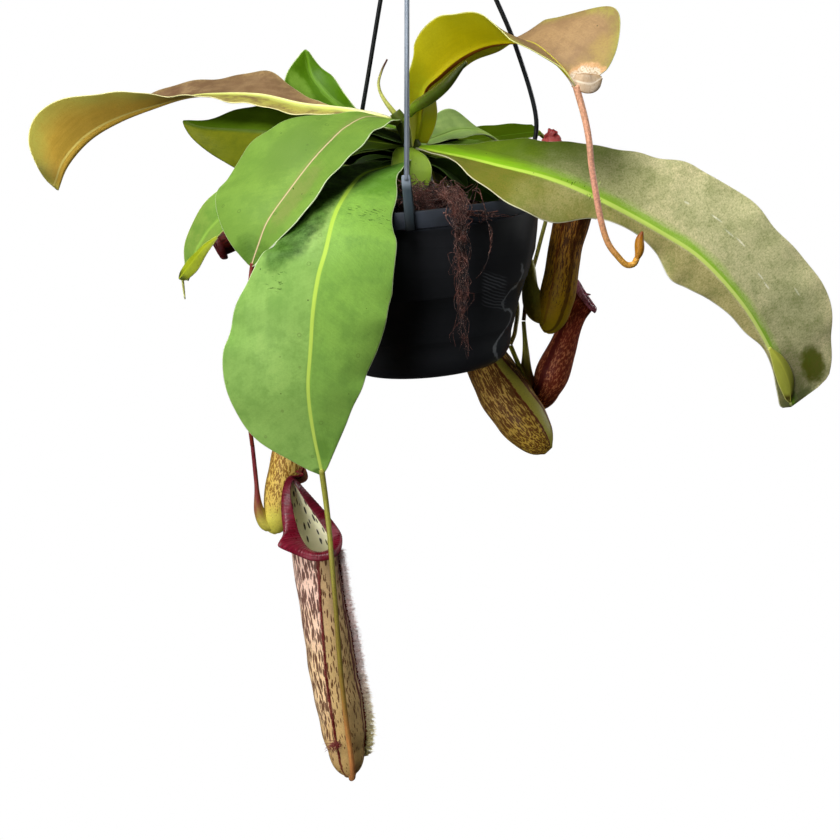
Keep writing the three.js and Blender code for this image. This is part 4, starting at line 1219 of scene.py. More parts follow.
# %% [markdown]
# The lower left leaf ends in a short stub. Two young shoots stand at the top, the right one with
# a brown stripe between two pale ones, and two of the tendrils end in a bud. The bud at the back
# is crumpled, so its points are pushed about by waves.

# %% Make the stub, the shoots, the buds and the stem
STUB = [[-153, -39, -324], [-152.5, -39, -332], [-152, -39, -339]]
stub = tube("leaf_end", STUB, [0.9, 0.8, 0.5], 12, 12)
finished(stub, stalk_finish("leaf_end", "b8bc60", "b8bc60", "c8cc80"), "stem", "leaf_low_left")

SHOOT_COLOURS = {
    "shoot_left": ("9aa23a", "c9cc6a", "4a2820"),
    "shoot_right": ("7c9a20", "42560c", "2c3c06"),
    "bud_tendril": ("b87c20", "a87014", "7c3c12"),
    "bud_back": ("8a3a2c", "b05a54", "8a2a2c"),
}
# Each stripe's middle and half width, in radians round the shoot, and its colour.
STRIPES = {"shoot_right": [(4.2, 0.8, "5c3410"), (3.2, 0.16, "a8ac58"), (5.2, 0.16, "a8ac58")]}
for name, colours in SHOOT_COLOURS.items():
    shoot = SHOOTS[name]
    piece = tube(f"young_{name}", shoot["points"], shoot["radii"], 24, 60)
    finish = stalk_finish(name, *colours, stripe=STRIPES.get(name, ()))
    if name == "bud_back":
        places = points_of(piece)
        crumple = np.sin(places[:, [1, 2, 0]] * 900) + np.sin(places[:, [2, 0, 1]] * 1700 + 1)
        put_points(piece, places + crumple * 0.0005)
    finished(piece, finish, "peristome" if name == "bud_back" else "stem", name)

STEM_POINTS = [[16, 5, -292], [13, 3, -272], [6, 0, -245], [-5, 0, -222], [-9, 0, -216]]
piece = tube("stem_main", STEM_POINTS, [7.5, 7, 6.5, 5.5, 4], 32, 60)
finished(piece, stalk_finish("stem", "2c3c10", "34440f", "4c5c18"), "stem", "stem")

# %% [markdown]
# A pitcher is a hollow wall that ends in a ribbed lip. The wall is one sheet: up the outside,
# over the mouth and down the inside. The mouth is drawn up into a neck at the back, where
# the lid grows. Its marks are its own round coordinates, so that blotches can be drawn
# out along it without a seam.

# %% Roll the pitchers
WALL = 1.4


def mouth_lift(angle, share):
    back = ((1 - np.cos(angle)) / 2) ** 1.4
    return back * np.maximum(share - 0.6, 0) / 0.4


def pinched(pitcher, angle, lift):
    """How much narrower the neck gets, on its left and on its right side."""
    left, right = pitcher.get("pinch", (0.4, 0.4))
    return 1 - np.where(np.sin(angle) < 0, left, right) * lift


def pitcher_frame(pitcher, share):
    line = Line(pitcher["spine"])
    return line.facing(share, [pitcher["front"], pitcher["front"]])


def wall(name, pitcher, around=96, rows=140):
    length = Line(pitcher["spine"]).length

    def formula(u, v):
        outside = v <= 0.5
        share = np.where(outside, v * 2, 2 - v * 2)
        share = share * (rows / (rows - 4)) - 2 / rows
        shut = share < 1e-6
        share = np.clip(share, 0, 1)
        share = np.where(outside, share, np.maximum(share, 0.12))
        angle = 2 * math.pi * u + math.pi
        place, way, top, side = pitcher_frame(pitcher, share)
        lift = mouth_lift(angle, share)
        radius = np.maximum(smooth(pitcher["radii"], share) - np.where(outside, 0, WALL), 0.8)
        base = pitcher.get("base", 0.13)
        low = np.clip(share / base, 0, 1)
        dome_radius = smooth(pitcher["radii"], np.full_like(share, base)) * np.sqrt(low * (2 - low))
        radius = np.where(outside & (share < base), np.maximum(radius, dome_radius), radius)
        swell = 1 + 0.012 * np.sin(share * length / 4) + 0.01 * np.sin(3 * angle + share * 9)
        radius = radius * np.where(outside, swell, 1) * ~shut
        points = place + top * (radius * np.cos(angle))[:, None]
        points += side * (radius * np.sin(angle) * pinched(pitcher, angle, lift))[:, None]
        points += np.array(pitcher["neck"]) * lift[:, None]
        around_wall = [radius * np.cos(angle), radius * np.sin(angle), share * length]
        marks = {
            "wall": np.stack(around_wall, axis=1),
            "inside": np.where(outside, 0.0, 1.0),
            "along": share,
        }
        return points, marks

    return sheet(name, around, rows, formula)


# Each corner of the lip's section: how far out it is, its share of the flare, its height and
# its share of the inner width.
LIP_SECTION = [
    (-2.6, 0.0, 1.1, 1.0), (-2.4, 0.0, 2.2, 0.95), (-1.0, 0.05, 3.0, 0.4), (0.0, 0.35, 3.0, 0.0),
    (0.0, 0.8, 1.8, 0.0), (0.0, 1.0, -0.4, 0.0), (-0.4, 1.0, -1.6, 0.0), (-1.3, 1.0, -1.0, 0.0),
    (0.0, 0.5, 1.0, 0.0), (-1.2, 0.0, 0.9, 0.4), (-2.6, 0.0, 1.1, 1.0),
]


def lip(name, pitcher, around=360, rows=28, ribs=84):
    def formula(u, v):
        angle = 2 * math.pi * u + math.pi
        turned_by = np.arctan2(np.sin(angle), np.cos(angle))
        share = np.ones_like(angle)
        place, way, top, side = pitcher_frame(pitcher, share)
        radius = pitcher["radii"][-1]
        front, corner_flare, back = pitcher["flare"]
        lift = mouth_lift(angle, share)
        flare = front + (back - front) * lift
        corners = ((-1.35, corner_flare, 0.4), (1.35, corner_flare, 0.4))
        raised = 0
        for middle, reach, width in pitcher.get("corners", corners):
            corner = np.exp(-np.abs((turned_by - middle) / width) ** 1.5)
            flare = flare + (reach - front) * corner
            raised = raised + pitcher.get("raise", 0) * corner
        inward = smooth(pitcher.get("inward", [0, 0]), np.abs(turned_by) / math.pi)
        fixed, flared, high, inner = (smooth([p[k] for p in LIP_SECTION], v) for k in range(4))
        ridge = 0.16 * np.cos(ribs * angle) * np.clip((high + 1) / 2, 0, 1)
        wide = fixed + flared * flare - inner * inward
        high = high + raised * flared
        centre = place + top * (radius * np.cos(angle))[:, None]
        centre += side * (radius * np.sin(angle) * pinched(pitcher, angle, lift))[:, None]
        centre += np.array(pitcher["neck"]) * lift[:, None]
        out = top * np.cos(angle)[:, None] + side * np.sin(angle)[:, None]
        points = centre + out * wide[:, None] + way * (high + ridge)[:, None]
        marks = {"rim": np.stack([np.cos(angle), np.sin(angle), v], axis=1)}
        return points, marks

    return sheet(name, around, rows, formula)


def wing(name, pitcher, angles, widths, seed, rows=220):
    """A thin ragged strip that stands out from the wall; angles and widths go up from the base."""
    length = Line(pitcher["spine"]).length

    def formula(u, v):
        share, open_end = with_ends(v, rows)
        share = share * 0.9 + 0.07
        reach = np.where(u <= 0.5, 2 * u, 2 - 2 * u)
        angle = np.radians(smooth(angles, share))
        place, way, top, side = pitcher_frame(pitcher, share)
        lift = mouth_lift(angle, share)
        narrow = pinched(pitcher, angle, lift)
        out = top * np.cos(angle)[:, None] + side * (np.sin(angle) * narrow)[:, None]
        across = side * np.cos(angle)[:, None] - top * np.sin(angle)[:, None]
        run = share * length
        jagged = 0.8 + 0.2 * np.sin(run * 1.9 + seed) + 0.2 * np.sin(run * 4.7 + seed * 2)
        wide = smooth(widths, share) * jagged * open_end
        thick = 0.3 * (1 - reach) * np.where(u <= 0.5, 1, -1) * open_end
        sway = 0.7 * reach ** 2 * np.sin(run * 0.8 + seed) * open_end
        radius = smooth(pitcher["radii"], share) - 0.5 + reach * wide
        centre = place + np.array(pitcher["neck"]) * lift[:, None]
        points = centre + out * radius[:, None] + across * (thick + sway)[:, None]
        return points, {"wing": np.stack([reach, run, share], axis=1)}

    return sheet(name, 12, rows, formula)


def hairs(name, pitcher, angles, widths, count, length, thickness, seed):
    """Fine hairs along a wing, each with its own length and lean."""
    chance = np.random.default_rng(seed)
    share = chance.uniform(0.08, 0.96, count)
    angle = np.radians(smooth(angles, share))
    place, way, top, side = pitcher_frame(pitcher, share)
    narrow = pinched(pitcher, angle, mouth_lift(angle, share))
    out = top * np.cos(angle)[:, None] + side * (np.sin(angle) * narrow)[:, None]
    up_wing = smooth(widths, share) * chance.uniform(0.0, 0.8, count)
    radius = smooth(pitcher["radii"], share) + up_wing
    centre = place + np.array(pitcher["neck"]) * mouth_lift(angle, share)[:, None]
    roots = centre + out * radius[:, None]
    ways = unit(out + chance.normal(0, 0.45, (count, 3)))
    runs = []
    for root, way_out in zip(roots, ways):
        steps = np.linspace(0, 1, 4)[:, None] * length * chance.uniform(0.4, 1.2)
        droop = np.linspace(0, 1, 4)[:, None] ** 2 * [0, 0, -0.4]
        runs.append((root + way_out * steps + droop, [1.0, 0.8, 0.6, 0.3]))
    return fibres(name, runs, thickness)


print("pitchers can be rolled")

# %% [markdown]
# The wall is waxy, cream or tan, with dark red blotches that are drawn out lengthwise. The
# blotches are cells of a Voronoi pattern whose coordinates are squeezed along the pitcher.
# A plainer strip and dark lines run from the base to the mouth, and are placed by their angles
# round the wall. Inside, the wall is pale green with small black dots.

# %% Finish of a pitcher
PITCHER_LOOK = {
    "ground": ("b9a468", "9c8644", "7a7a20"), "blotch": "6a2c1a", "dense": (0.7, 0.7, 0.3),
    "scale": 0.30, "stretch": 0.30, "strip": (), "lines": (), "inside": "c4be8c", "rough": 0.42,
    "net": 0.3, "ragged": 1.6,
}


def pitcher_finish(name, **changes):
    look = PITCHER_LOOK | changes
    finish = Finish(name, Roughness=look["rough"], Specular_IOR_Level=0.12, Coat_Weight=0.03,
                    Coat_Roughness=0.3)
    wall_place = finish.attribute("wall")
    front, side, run = wall_place.parts()
    inside = finish.attribute("inside", "Fac")
    along = finish.attribute("along", "Fac")
    angle = side.maths("ARCTAN2", side, front) * (180 / math.pi)
    broad = finish.noise(40, detail=3).rising(0.35, 0.65)
    fine = finish.noise(1100, detail=3).rising(0.35, 0.65)
    ragged = finish.noise(0.7, wall_place.stretched(1, 1, 0.5), detail=4) - 0.5
    low, middle, high = look["ground"]
    colour = finish.mix((along + broad * 0.12).rising(0.12, 0.45), tint(low), tint(middle))
    colour = finish.mix((along + broad * 0.12).rising(0.5, 1.0), colour, tint(high))
    squeezed = wall_place.stretched(1, 1, look["stretch"])
    cell_place = finish.join_xyz(*[part + ragged * look["ragged"] for part in squeezed.parts()])
    cells = finish.cells(look["scale"], cell_place)
    low, middle, high = look["dense"]
    dense = along.rising(0.0, 0.5) * (middle - low) + low
    dense = dense + along.rising(0.5, 1.0) * (high - middle)
    if look["strip"]:
        first_low, first_high, last_low, last_high, strip_colour, amount, fewer = look["strip"]
        first = along * (first_high - first_low) + first_low
        last = along * (last_high - last_low) + last_low
        strip = (angle - first + ragged * 8).rising(0, 6) * (last - angle + ragged * 8).rising(0, 6)
        colour = finish.mix(strip * amount, colour, tint(strip_colour))
        dense = dense * (1 - strip * fewer)
    blotches = 1 - (cells / (dense * 0.8)).rising(0.75, 1.0)
    faint = finish.noise(1.5, wall_place.stretched(1, 1, 0.3), detail=3).rising(0.5, 0.7)
    blotch = tint(look["blotch"])
    colour = finish.mix(faint * look["net"] * dense, colour, blotch)
    colour = finish.mix(blotches * 0.88, colour, blotch)
    for low, high, half, line_colour, amount in look["lines"]:
        line = abs(angle - (along * (high - low) + low) + ragged * 7).falling(half * 0.5, half)
        colour = finish.mix(line * amount, colour, tint(line_colour))
    colour = finish.mix(fine * 0.18, colour, tint("5a4a28"))
    dots = finish.cells(0.3, wall_place.stretched(1, 1, 0.6)).falling(0.24, 0.31)
    inner = finish.mix(broad * 0.4, tint(look["inside"]), tint("c4c488"))
    inner = finish.mix(dots * 0.95, inner, tint("15120c"))
    finish.colour(finish.mix(inside.rising(0.4, 0.6), colour, inner))
    finish.rough(look["rough"] + 0.15 * fine - 0.1 * blotches)
    finish.bump(blotches * 0.4 + fine * 0.3 + broad * 0.5, 0.0003, 0.6)
    return finish


def lip_finish(name, dark, light):
    finish = Finish(name, Roughness=0.3, Specular_IOR_Level=0.3, Coat_Weight=0.2,
                    Coat_Roughness=0.15)
    first, second, section = finish.attribute("rim").parts()
    broad = finish.noise(90, detail=3).rising(0.35, 0.65)
    rib_place = finish.join_xyz(first * 40, second * 40, section * 0.3)
    ribs = finish.noise(1.0, rib_place, detail=2).rising(0.35, 0.65)
    colour = finish.mix(ribs * 0.55 + broad * 0.3, tint(dark), tint(light))
    finish.colour(colour)
    finish.rough(0.25 + 0.2 * broad)
    finish.bump(ribs, 0.0002, 0.6)
    return finish


PITCHER_CHANGES = {
    "pitcher_front": {
        "ground": ("bc985c", "ecca9c", "f6d0bc"), "blotch": "4a100e", "inside": "fcf8d4",
        "dense": (0.52, 0.78, 0.78), "scale": 0.82, "stretch": 0.17, "net": 0.0, "ragged": 0.9,
        "strip": (-40, -17, 58, 42, "c4a468", 0.8, 0.3),
        "lines": ((-42, -15, 5, "6a141c", 0.9), (60, 42, 6, "5a1014", 0.95)),
    },
    "pitcher_right_upper": {
        "ground": ("a88e08", "a87c14", "bc7c34"), "blotch": "401c06", "dense": (0.0, 0.6, 1.0),
        "scale": 1.15, "stretch": 0.13, "net": 1.0, "ragged": 1.2,
        "lines": ((-105, -105, 6, "6a1c10", 0.4), (-50, -50, 10, "3c0c06", 0.7)),
    },
    "pitcher_right_lower": {
        "ground": ("c87448", "cc7850", "b4583c"), "blotch": "6a140c", "dense": (0.8, 0.9, 0.9),
        "scale": 1.1, "stretch": 0.35, "lines": ((-90, -108, 14, "560a10", 0.95),), "net": 0.5,
    },
    "pitcher_back": {
        "ground": ("d0aa40", "d8ae58", "cc9848"), "blotch": "54200c", "dense": (0.8, 0.85, 0.85),
        "scale": 0.95, "stretch": 0.16, "strip": (-72, -90, -22, -78, "a8a43c", 0.9, 0.8),
        "lines": ((-72, -90, 4, "5f2410", 0.9), (-22, -78, 5, "5f2410", 0.9)), "net": 0.5,
    },
    "pitcher_left": {
        "ground": ("c8c04c", "dcbc5c", "d8b468"), "blotch": "7c4c10", "dense": (0.1, 0.75, 0.9),
        "scale": 0.95, "stretch": 0.35, "net": 0.7,
    },
    "pitcher_far_left": {
        "ground": ("6a241a", "6f2218", "5f1414"), "blotch": "360a0a", "dense": (0.7, 0.7, 0.7),
        "scale": 0.8, "stretch": 0.15,
    },
}
# The right lower pitcher's pink second colour is a painted highlight on its crimson lip.
LIP_COLOURS = {
    "pitcher_front": ("4a0410", "80102c"), "pitcher_right_upper": ("520c10", "7a2020"),
    "pitcher_right_lower": ("6a0c18", "c0788a"), "pitcher_back": ("54160c", "7a3020"),
    "pitcher_left": ("640c0e", "903020"), "pitcher_far_left": ("42080a", "6a1c1c"),
}
TAIL_COLOURS = {"pitcher_left": ("74202c", "843834"), "pitcher_right_upper": ("b4b244", "aeaa3c")}
GREEN_TAIL = ("8a8a20", "8f8a20")
for name, pitcher in PITCHERS.items():
    short = name[8:]
    main = name == "pitcher_front"
    finish = pitcher_finish(name, **PITCHER_CHANGES[name])
    piece = wall(f"wall_{short}", pitcher, 128 if main else 80, 240 if main else 140)
    finished(piece, finish, "pitcher", name)
    if "tail" in pitcher:
        tail = tube(f"tail_{short}", pitcher["tail"], pitcher["tailRadii"], 24, 70)
        near = TAIL_COLOURS.get(name, GREEN_TAIL)
        tail_finish = stalk_finish(f"tail_{short}", *near, PITCHER_CHANGES[name]["ground"][0])
        finished(tail, tail_finish, "pitcher", name)
    rim_finish = lip_finish(f"lip_{short}", *LIP_COLOURS[name])
    piece = lip(f"lip_{short}", pitcher, 420 if main else 240, 32 if main else 20)
    finished(piece, rim_finish, "peristome", f"{name}_lip")

# %% [markdown]
# Two ragged wings run down the front pitcher. The right one is a broad pale fringe, pink above
# and olive below, and the left one is a narrow dark red one that ends in a tuft.

# %% Put the wings on the front pitcher
front_pitcher = PITCHERS["pitcher_front"]
# Each wing's angles and widths, how many hairs it has, how long they are, and its seed.
WINGS = {
    "left": ([-41, -35, -29, -22, -15], [1.6, 1.8, 1.4, 1.2, 0.8], 260, 1.6, 5),
    "right": ([82, 78, 72, 66, 60], [7.5, 6.5, 5.5, 5.0, 5.0], 2600, 3.2, 9),
}
for side_name, (angles, widths, count, long, seed) in WINGS.items():
    finish = Finish(f"wing_{side_name}", Roughness=0.55, Specular_IOR_Level=0.25)
    reach, run, share = finish.attribute("wing").parts()
    high = finish.where.parts()[2].rising(-0.64, -0.56)
    mottle = finish.noise(900, detail=3).rising(0.4, 0.6)
    pale = finish.mix(high, tint("dcd08c"), tint("fcdcd4"))
    dark = tint("6a141c")
    if side_name == "left":
        finish.colour(finish.mix(reach.rising(0.5, 1.0) * mottle, dark, tint("a0604c")))
    else:
        finish.colour(finish.mix(reach.falling(0.15, 0.4) + mottle * 0.45, pale, dark))
    piece = wing(f"wing_{side_name}", front_pitcher, angles, widths, seed)
    finished(piece, finish, "pitcher", "pitcher_front")
    hair_finish = Finish(f"hairs_{side_name}", Roughness=0.6, Specular_IOR_Level=0.25)
    high = hair_finish.where.parts()[2].rising(-0.64, -0.56)
    if side_name == "left":
        hair_finish.colour(hair_finish.mix(high, tint("7a1c1c"), tint("8a3434")))
    else:
        speckle = hair_finish.noise(700).rising(0.45, 0.6) * 0.2
        pale = hair_finish.mix(high, tint("ece4a0"), tint("fff0ec"))
        hair_finish.colour(hair_finish.mix(speckle, pale, tint("8c4040")))
    piece = hairs(f"hairs_{side_name}", front_pitcher, angles, widths, count, long, 0.17, seed)
    finished(piece, hair_finish, "pitcher", "pitcher_front")

chance = np.random.default_rng(21)
place, way, top, side = pitcher_frame(front_pitcher, np.full(34, 0.19))
tuft_root = (place + (top * math.cos(-0.5) + side * math.sin(-0.5)) * 15.5)[0]
runs = []
for _ in range(34):
    end = np.array([-8, -2.5, -1.5]) * chance.uniform(0.5, 1.1) + chance.normal(0, 1.8, 3)
    start = tuft_root + chance.normal(0, 1.2, 3)
    steps = np.linspace(0, 1, 5)[:, None]
    runs.append((start + end * steps + steps ** 2 * [0, 0.6, -1.0], [1.1, 1, 0.8, 0.6, 0.3]))
tuft_finish = Finish("hair_tuft", Roughness=0.6)
tuft_finish.colour(tuft_finish.mix(tuft_finish.noise(500), tint("4a1010"), tint("8a2c24")))
finished(fibres("hair_tuft", runs, 0.2), tuft_finish, "pitcher", "pitcher_front")

# %% [markdown]
# The lid of each pitcher is a small domed leaf that grows from the top of the neck.

# %% Make the lids
def neck_top(pitcher):
    place, way, top, _ = (part[0] for part in pitcher_frame(pitcher, np.array([1.0])))
    place = place - top * pitcher["radii"][-1] + way * 2
    return list(place + np.array(pitcher["neck"]))


for name, pitcher in PITCHERS.items():
    lid = {
        "spine": [neck_top(pitcher), *pitcher["lid"]],
        "up": [pitcher["lidUp"], pitcher["lidUp"]],
        "left": pitcher["lidHalf"], "right": pitcher["lidHalf"], "curl": [-25, -25],
    }
    piece = blade(f"lid_{name[8:]}", lid, 40, 40, keel=0.5, wave=0.3)
    dark, light = LIP_COLOURS[name]
    finish = leaf_finish(
        f"lid_{name[8:]}", 30, upper=(light, dark), far=(dark, 0.8, 1.0), edge=light,
        rib=(dark, dark, 1.0, 0.6), halo=(dark, 4.0, 4.0, 0.4), under=("9a6a4a", dark),
        under_rib=(dark, 0.8), specks=0.3, rough=0.4,
    )
    finished(piece, finish, "peristome", f"{name}_lid")

# %% [markdown]
# The pot is moulded black plastic, turned about its own axis. It starts as a circle at the middle
# of its base, and each step of the profile is an extrusion that is then widened or narrowed.
# It hangs a little askew, so the finished mesh is tilted about its rim.

# %% Turn the pot
POT_X = 4
RIM_Z = -275
POT_CENTRE = (POT_X / 1000, 0.0, RIM_Z / 1000)
POT_TILT = math.radians(5.3)
POT_OUTSIDE = [
    (1, -118), (30, -118), (42, -118), (44.5, -117), (46, -117.6), (52, -116.6), (56, -113.5),
    (59, -109), (60.4, -103), (61, -98), (62.9, -92), (63.4, -91.4), (63.7, -90.2), (68.5, -75),
    (74.6, -59.5), (75.4, -58.9), (75.7, -57.6), (82, -41), (84.4, -27), (86.4, -11.8),
    (88.6, -11.6), (89.9, -11), (90.3, -9), (90.5, -1), (90.1, -0.2), (89.3, 0), (88, 0),
    (87.2, -0.5), (86.6, -2), (84, -11), (79.5, -41), (66, -75), (58.5, -98), (55.5, -109),
    (43, -114.5), (1, -114.5),
]


def turned(name, profile, around=128):
    """Extrudes a circle along a profile of radius and height in millimetres, then tilts it."""
    deselect()
    radius, high = profile[0]
    place = (0, 0, high * MM)
    bpy.ops.mesh.primitive_circle_add(vertices=around, radius=radius * MM, fill_type="NGON",
                                      location=place)
    piece = bpy.context.object
    bpy.ops.object.transform_apply(location=True)
    piece.name = piece.data.name = name
    bpy.ops.object.mode_set(mode="EDIT")
    bpy.ops.mesh.select_all(action="SELECT")
    bpy.ops.mesh.delete(type="ONLY_FACE")
    bpy.ops.mesh.select_all(action="SELECT")
    for (before, low), (after, high) in zip(profile, profile[1:]):
        rise = {"value": (0, 0, (high - low) * MM)}
        bpy.ops.mesh.extrude_edges_move(TRANSFORM_OT_translate=rise)
        size = after / before
        bpy.ops.transform.resize(value=(size, size, 1))
    bpy.ops.mesh.select_all(action="SELECT")
    bpy.ops.mesh.fill_holes(sides=around)
    bpy.ops.mesh.normals_make_consistent(inside=False)
    bpy.ops.object.mode_set(mode="OBJECT")
    piece.rotation_euler = (0, -POT_TILT, 0)
    piece.location = POT_CENTRE
    bpy.ops.object.transform_apply(location=True, rotation=True)
    bpy.ops.object.shade_smooth_by_angle(angle=math.radians(40))
    return piece


def plastic_finish(name, dark, light, rough=0.28, scuffs=0.3, spec=0.4):
    finish = Finish(name, Roughness=rough, Specular_IOR_Level=spec)
    broad = finish.noise(18, detail=4).rising(0.4, 0.65)
    fine = finish.noise(1600, detail=2)
    scratch_place = finish.where.stretched(900, 900, 60)
    scratches = finish.noise(1.0, scratch_place, detail=2).rising(0.62, 0.75)
    dust = finish.noise(300, detail=5).rising(0.55, 0.75) * scuffs
    colour = finish.mix(broad * 0.5, tint(dark), tint(light))
    finish.colour(finish.mix(dust * 0.25, colour, tint("4a4742")))
    finish.rough(rough + broad * 0.12 + dust * 0.3)
    finish.bump(fine * 0.4 + scratches * 0.4 + broad, 0.00012, 0.5)
    return finish, colour


def window(value, low, high, soft=0.002):
    """1 where a flow lies between two places in metres, with soft ends."""
    return value.rising(low - soft, low + soft) * value.falling(high - soft, high + soft)


# The pot has moulded rings. Its lighter side past a wavy border is a painted reflection, with a
# pale painted reflection along the border, and the patch of fine stripes beside it is painted
# reflection as well as scuffs. A painted highlight runs down the right side, and a painted bluish
# reflection lies in the rim band. The border and the streak each pass through a place, x and z in
# metres, and slant from there.
BORDER_X, BORDER_Z, BORDER_SLANT = 0.063, -0.372, 0.22
HIGHLIGHT_X, HIGHLIGHT_Z, HIGHLIGHT_SLANT = 0.0835, -0.31, 0.16
REFLECTION_HEIGHTS = (-0.385, -0.315)
HIGHLIGHT_HEIGHTS = (-0.345, -0.288)
PATCH_PLACES = (0.050, 0.066)
PATCH_HEIGHTS = (-0.320, -0.296)
RIM_HEIGHTS = (-0.2885, -0.2755)
RIM_SLANT = 0.093

black, pot_colour = plastic_finish("black_plastic", "26272a", "2e3033", rough=0.3, spec=0.12)
x, y, z = black.where.parts()
near_side = y.falling(-0.02, 0.0)
waves = black.noise(60, detail=3) - 0.5
border = BORDER_X + (z - BORDER_Z) * BORDER_SLANT + (z * 190).sine() * 0.0045 + waves * 0.012
# The lighter side past the wavy border is a painted reflection.
reflected_side = (x - border).rising(0.0, 0.002) * window(z, *REFLECTION_HEIGHTS, 0.006) * near_side
# A pale painted reflection runs along the border.
fold = abs(x - border - 0.001).falling(0.0004, 0.0014) * window(z, *REFLECTION_HEIGHTS) * near_side
stripes = ((x * 0.5 + z + waves * 0.004) * 2600).sine().rising(-0.2, 0.8)
# The striped patch is painted reflection as well as scuffs.
patch = window(x, *PATCH_PLACES) * window(z + x * 0.4, *PATCH_HEIGHTS) * near_side * stripes
# A painted highlight streak runs down the right side.
from_highlight = abs(x - HIGHLIGHT_X - (z - HIGHLIGHT_Z) * HIGHLIGHT_SLANT)
highlight_streak = from_highlight.falling(0.0008, 0.003) * window(z, *HIGHLIGHT_HEIGHTS, 0.01)
rings = black.noise(1.0, black.where.stretched(8, 8, 800), detail=2).rising(0.5, 0.8)
# The rim band's bluish grey is a painted reflection.
rim_reflection = window(z - x * RIM_SLANT, *RIM_HEIGHTS, 0.001) * near_side
LAYERS = (
    (rings * 0.35, "1c1f22"), (rim_reflection * (0.35 + waves), "3c4450"), (reflected_side * 0.6, "24282c"),
    (fold * (0.7 + waves), "8c9094"), (patch * 0.75, "5c6064"), (highlight_streak * 0.5, "4c5054"),
)
for mask, layer_colour in LAYERS:
    pot_colour = black.mix(mask, pot_colour, tint(layer_colour))
black.colour(pot_colour)
finished(turned("pot_shell", POT_OUTSIDE), black, "black_plastic", "pot")

# %% [markdown]
# The pot is full of bark and moss. Its top is a turned disc whose points are raised and lowered,
# with bark chips and white grit lying on it.

# %% Fill the pot
SOIL_PROFILE = [
    (1, -114.1), (42.7, -114.1), (55.1, -108.7), (58, -98), (65.5, -75), (79, -41), (83.0, -14),
    (81, -10), (70, -9), (60, -8.2), (50, -7.5), (40, -7.1), (30, -6.8), (20, -6.4), (10, -6.1),
    (1, -6),
]
# The uneven top in metres: how far down it reaches, and how far its points sink and rise.
TOP_DEEP = 0.03
SINK = -0.002
RISE = 0.0012
chance = np.random.default_rng(7)
soil = turned("soil_fill", SOIL_PROFILE, 96)
places = points_of(soil)
on_top = places[:, 2] > places[:, 2].max() - TOP_DEEP
places[on_top, 2] += chance.uniform(SINK, RISE, on_top.sum())
put_points(soil, places)

soil_finish = Finish("soil_bark", Roughness=0.9)
lumps = soil_finish.cells(260)
grain = soil_finish.noise(600, detail=5)
dark_bark = soil_finish.mix(grain, tint("1f1713"), tint("5a4034"))
soil_finish.colour(soil_finish.mix(lumps.rising(0.2, 0.8), dark_bark, tint("33241c")))
soil_finish.bump(lumps + grain, 0.002, 1.0)
finished(soil, soil_finish, "soil", "soil")


SOIL_REACH = 78
SOIL_DEPTH = 7.5


def scattered(name, count, size, flatness, seed):
    """Copies of one small lump, each turned and sized by chance, lying on the soil."""
    chance = np.random.default_rng(seed)
    deselect()
    bpy.ops.mesh.primitive_ico_sphere_add(subdivisions=1, radius=size * MM)
    first = bpy.context.object
    shape = points_of(first)
    lumps = []
    for number in range(count):
        lump = first if number == 0 else first.copy()
        if number:
            lump.data = first.data.copy()
            bpy.context.scene.collection.objects.link(lump)
        angle = chance.uniform(0, 2 * math.pi)
        reach = SOIL_REACH * math.sqrt(chance.uniform(0, 1))
        points = shape * chance.uniform(0.6, 1.3, 3) * (1, flatness, flatness)
        points += chance.uniform(-0.15, 0.15, points.shape) * size * MM
        turn = chance.uniform(0, 2 * math.pi)
        cosine, sine = math.cos(turn), math.sin(turn)
        spun = points @ np.array([[cosine, -sine, 0], [sine, cosine, 0], [0, 0, 1]])
        x, y = reach * math.cos(angle), reach * math.sin(angle)
        surface = RIM_Z - SOIL_DEPTH + x * math.tan(POT_TILT)
        spun += np.array([POT_X + x, y, surface + 0.6 * size * flatness]) * MM
        put_points(lump, spun)
        lumps.append(lump)
    deselect()
    for lump in lumps:
        lump.select_set(True)
    bpy.context.view_layer.objects.active = first
    bpy.ops.object.join()
    first.name = first.data.name = name
    return first


bark_finish = Finish("bark_chips", Roughness=0.8)
grain = bark_finish.noise(500, bark_finish.where.stretched(1, 1, 0.3), detail=4)
bark_finish.colour(bark_finish.mix(grain.rising(0.35, 0.65), tint("2a1b15"), tint("6b4938")))
bark_finish.bump(grain, 0.0008, 0.8)
finished(scattered("bark_chips", 260, 4.5, 0.45, 11), bark_finish, "soil")
grit_finish = Finish("white_grit", Roughness=0.85)
grit_finish.colour(grit_finish.mix(grit_finish.noise(900), tint("f2efe8"), tint("c9c4b8")))
finished(scattered("white_grit", 60, 1.7, 0.9, 13), grit_finish, "soil")

# %% [markdown]
# The hanger is a hook on a round hub, with three stiff strands. Each strand ends in a clip that is
# moulded over the pot's rim. A clip starts as the outline of its side, which is extruded to
# its width and bevelled.

# %% Make the hanger
HOOK_POINTS = [
    [-13, 0, -19], [-14, 0, -12], [-9.9, 0, -2.1], [0, 0, 2], [9.9, 0, -2.1], [14, 0, -12],
    [10, 0, -23], [3, 0, -31], [0, 0, -40], [0, 0, -52],
]
CLIP_OUTLINE = [
    (0.35, -12), (4.5, -12), (4.5, 17), (2.8, 23), (-1.2, 23), (-3.2, 19), (-8.5, 4), (-8.5, -4),
    (-6.0, -4), (-4.4, 0.35), (0.35, 0.35),
]
RIM_RADIUS = 90.5
CLIP_WIDTH = 6.4
CLIP_BEVEL = 0.9
# The clip's outer side is slimmer than the solid's, and above a height it narrows to a share.
OUTER_SHARE = 0.75
NARROW_ABOVE = 18
NARROW_SHARE = 0.85
hanger_finish, _ = plastic_finish("hanger_plastic", "14161a", "22262b", rough=0.35, scuffs=0.2)
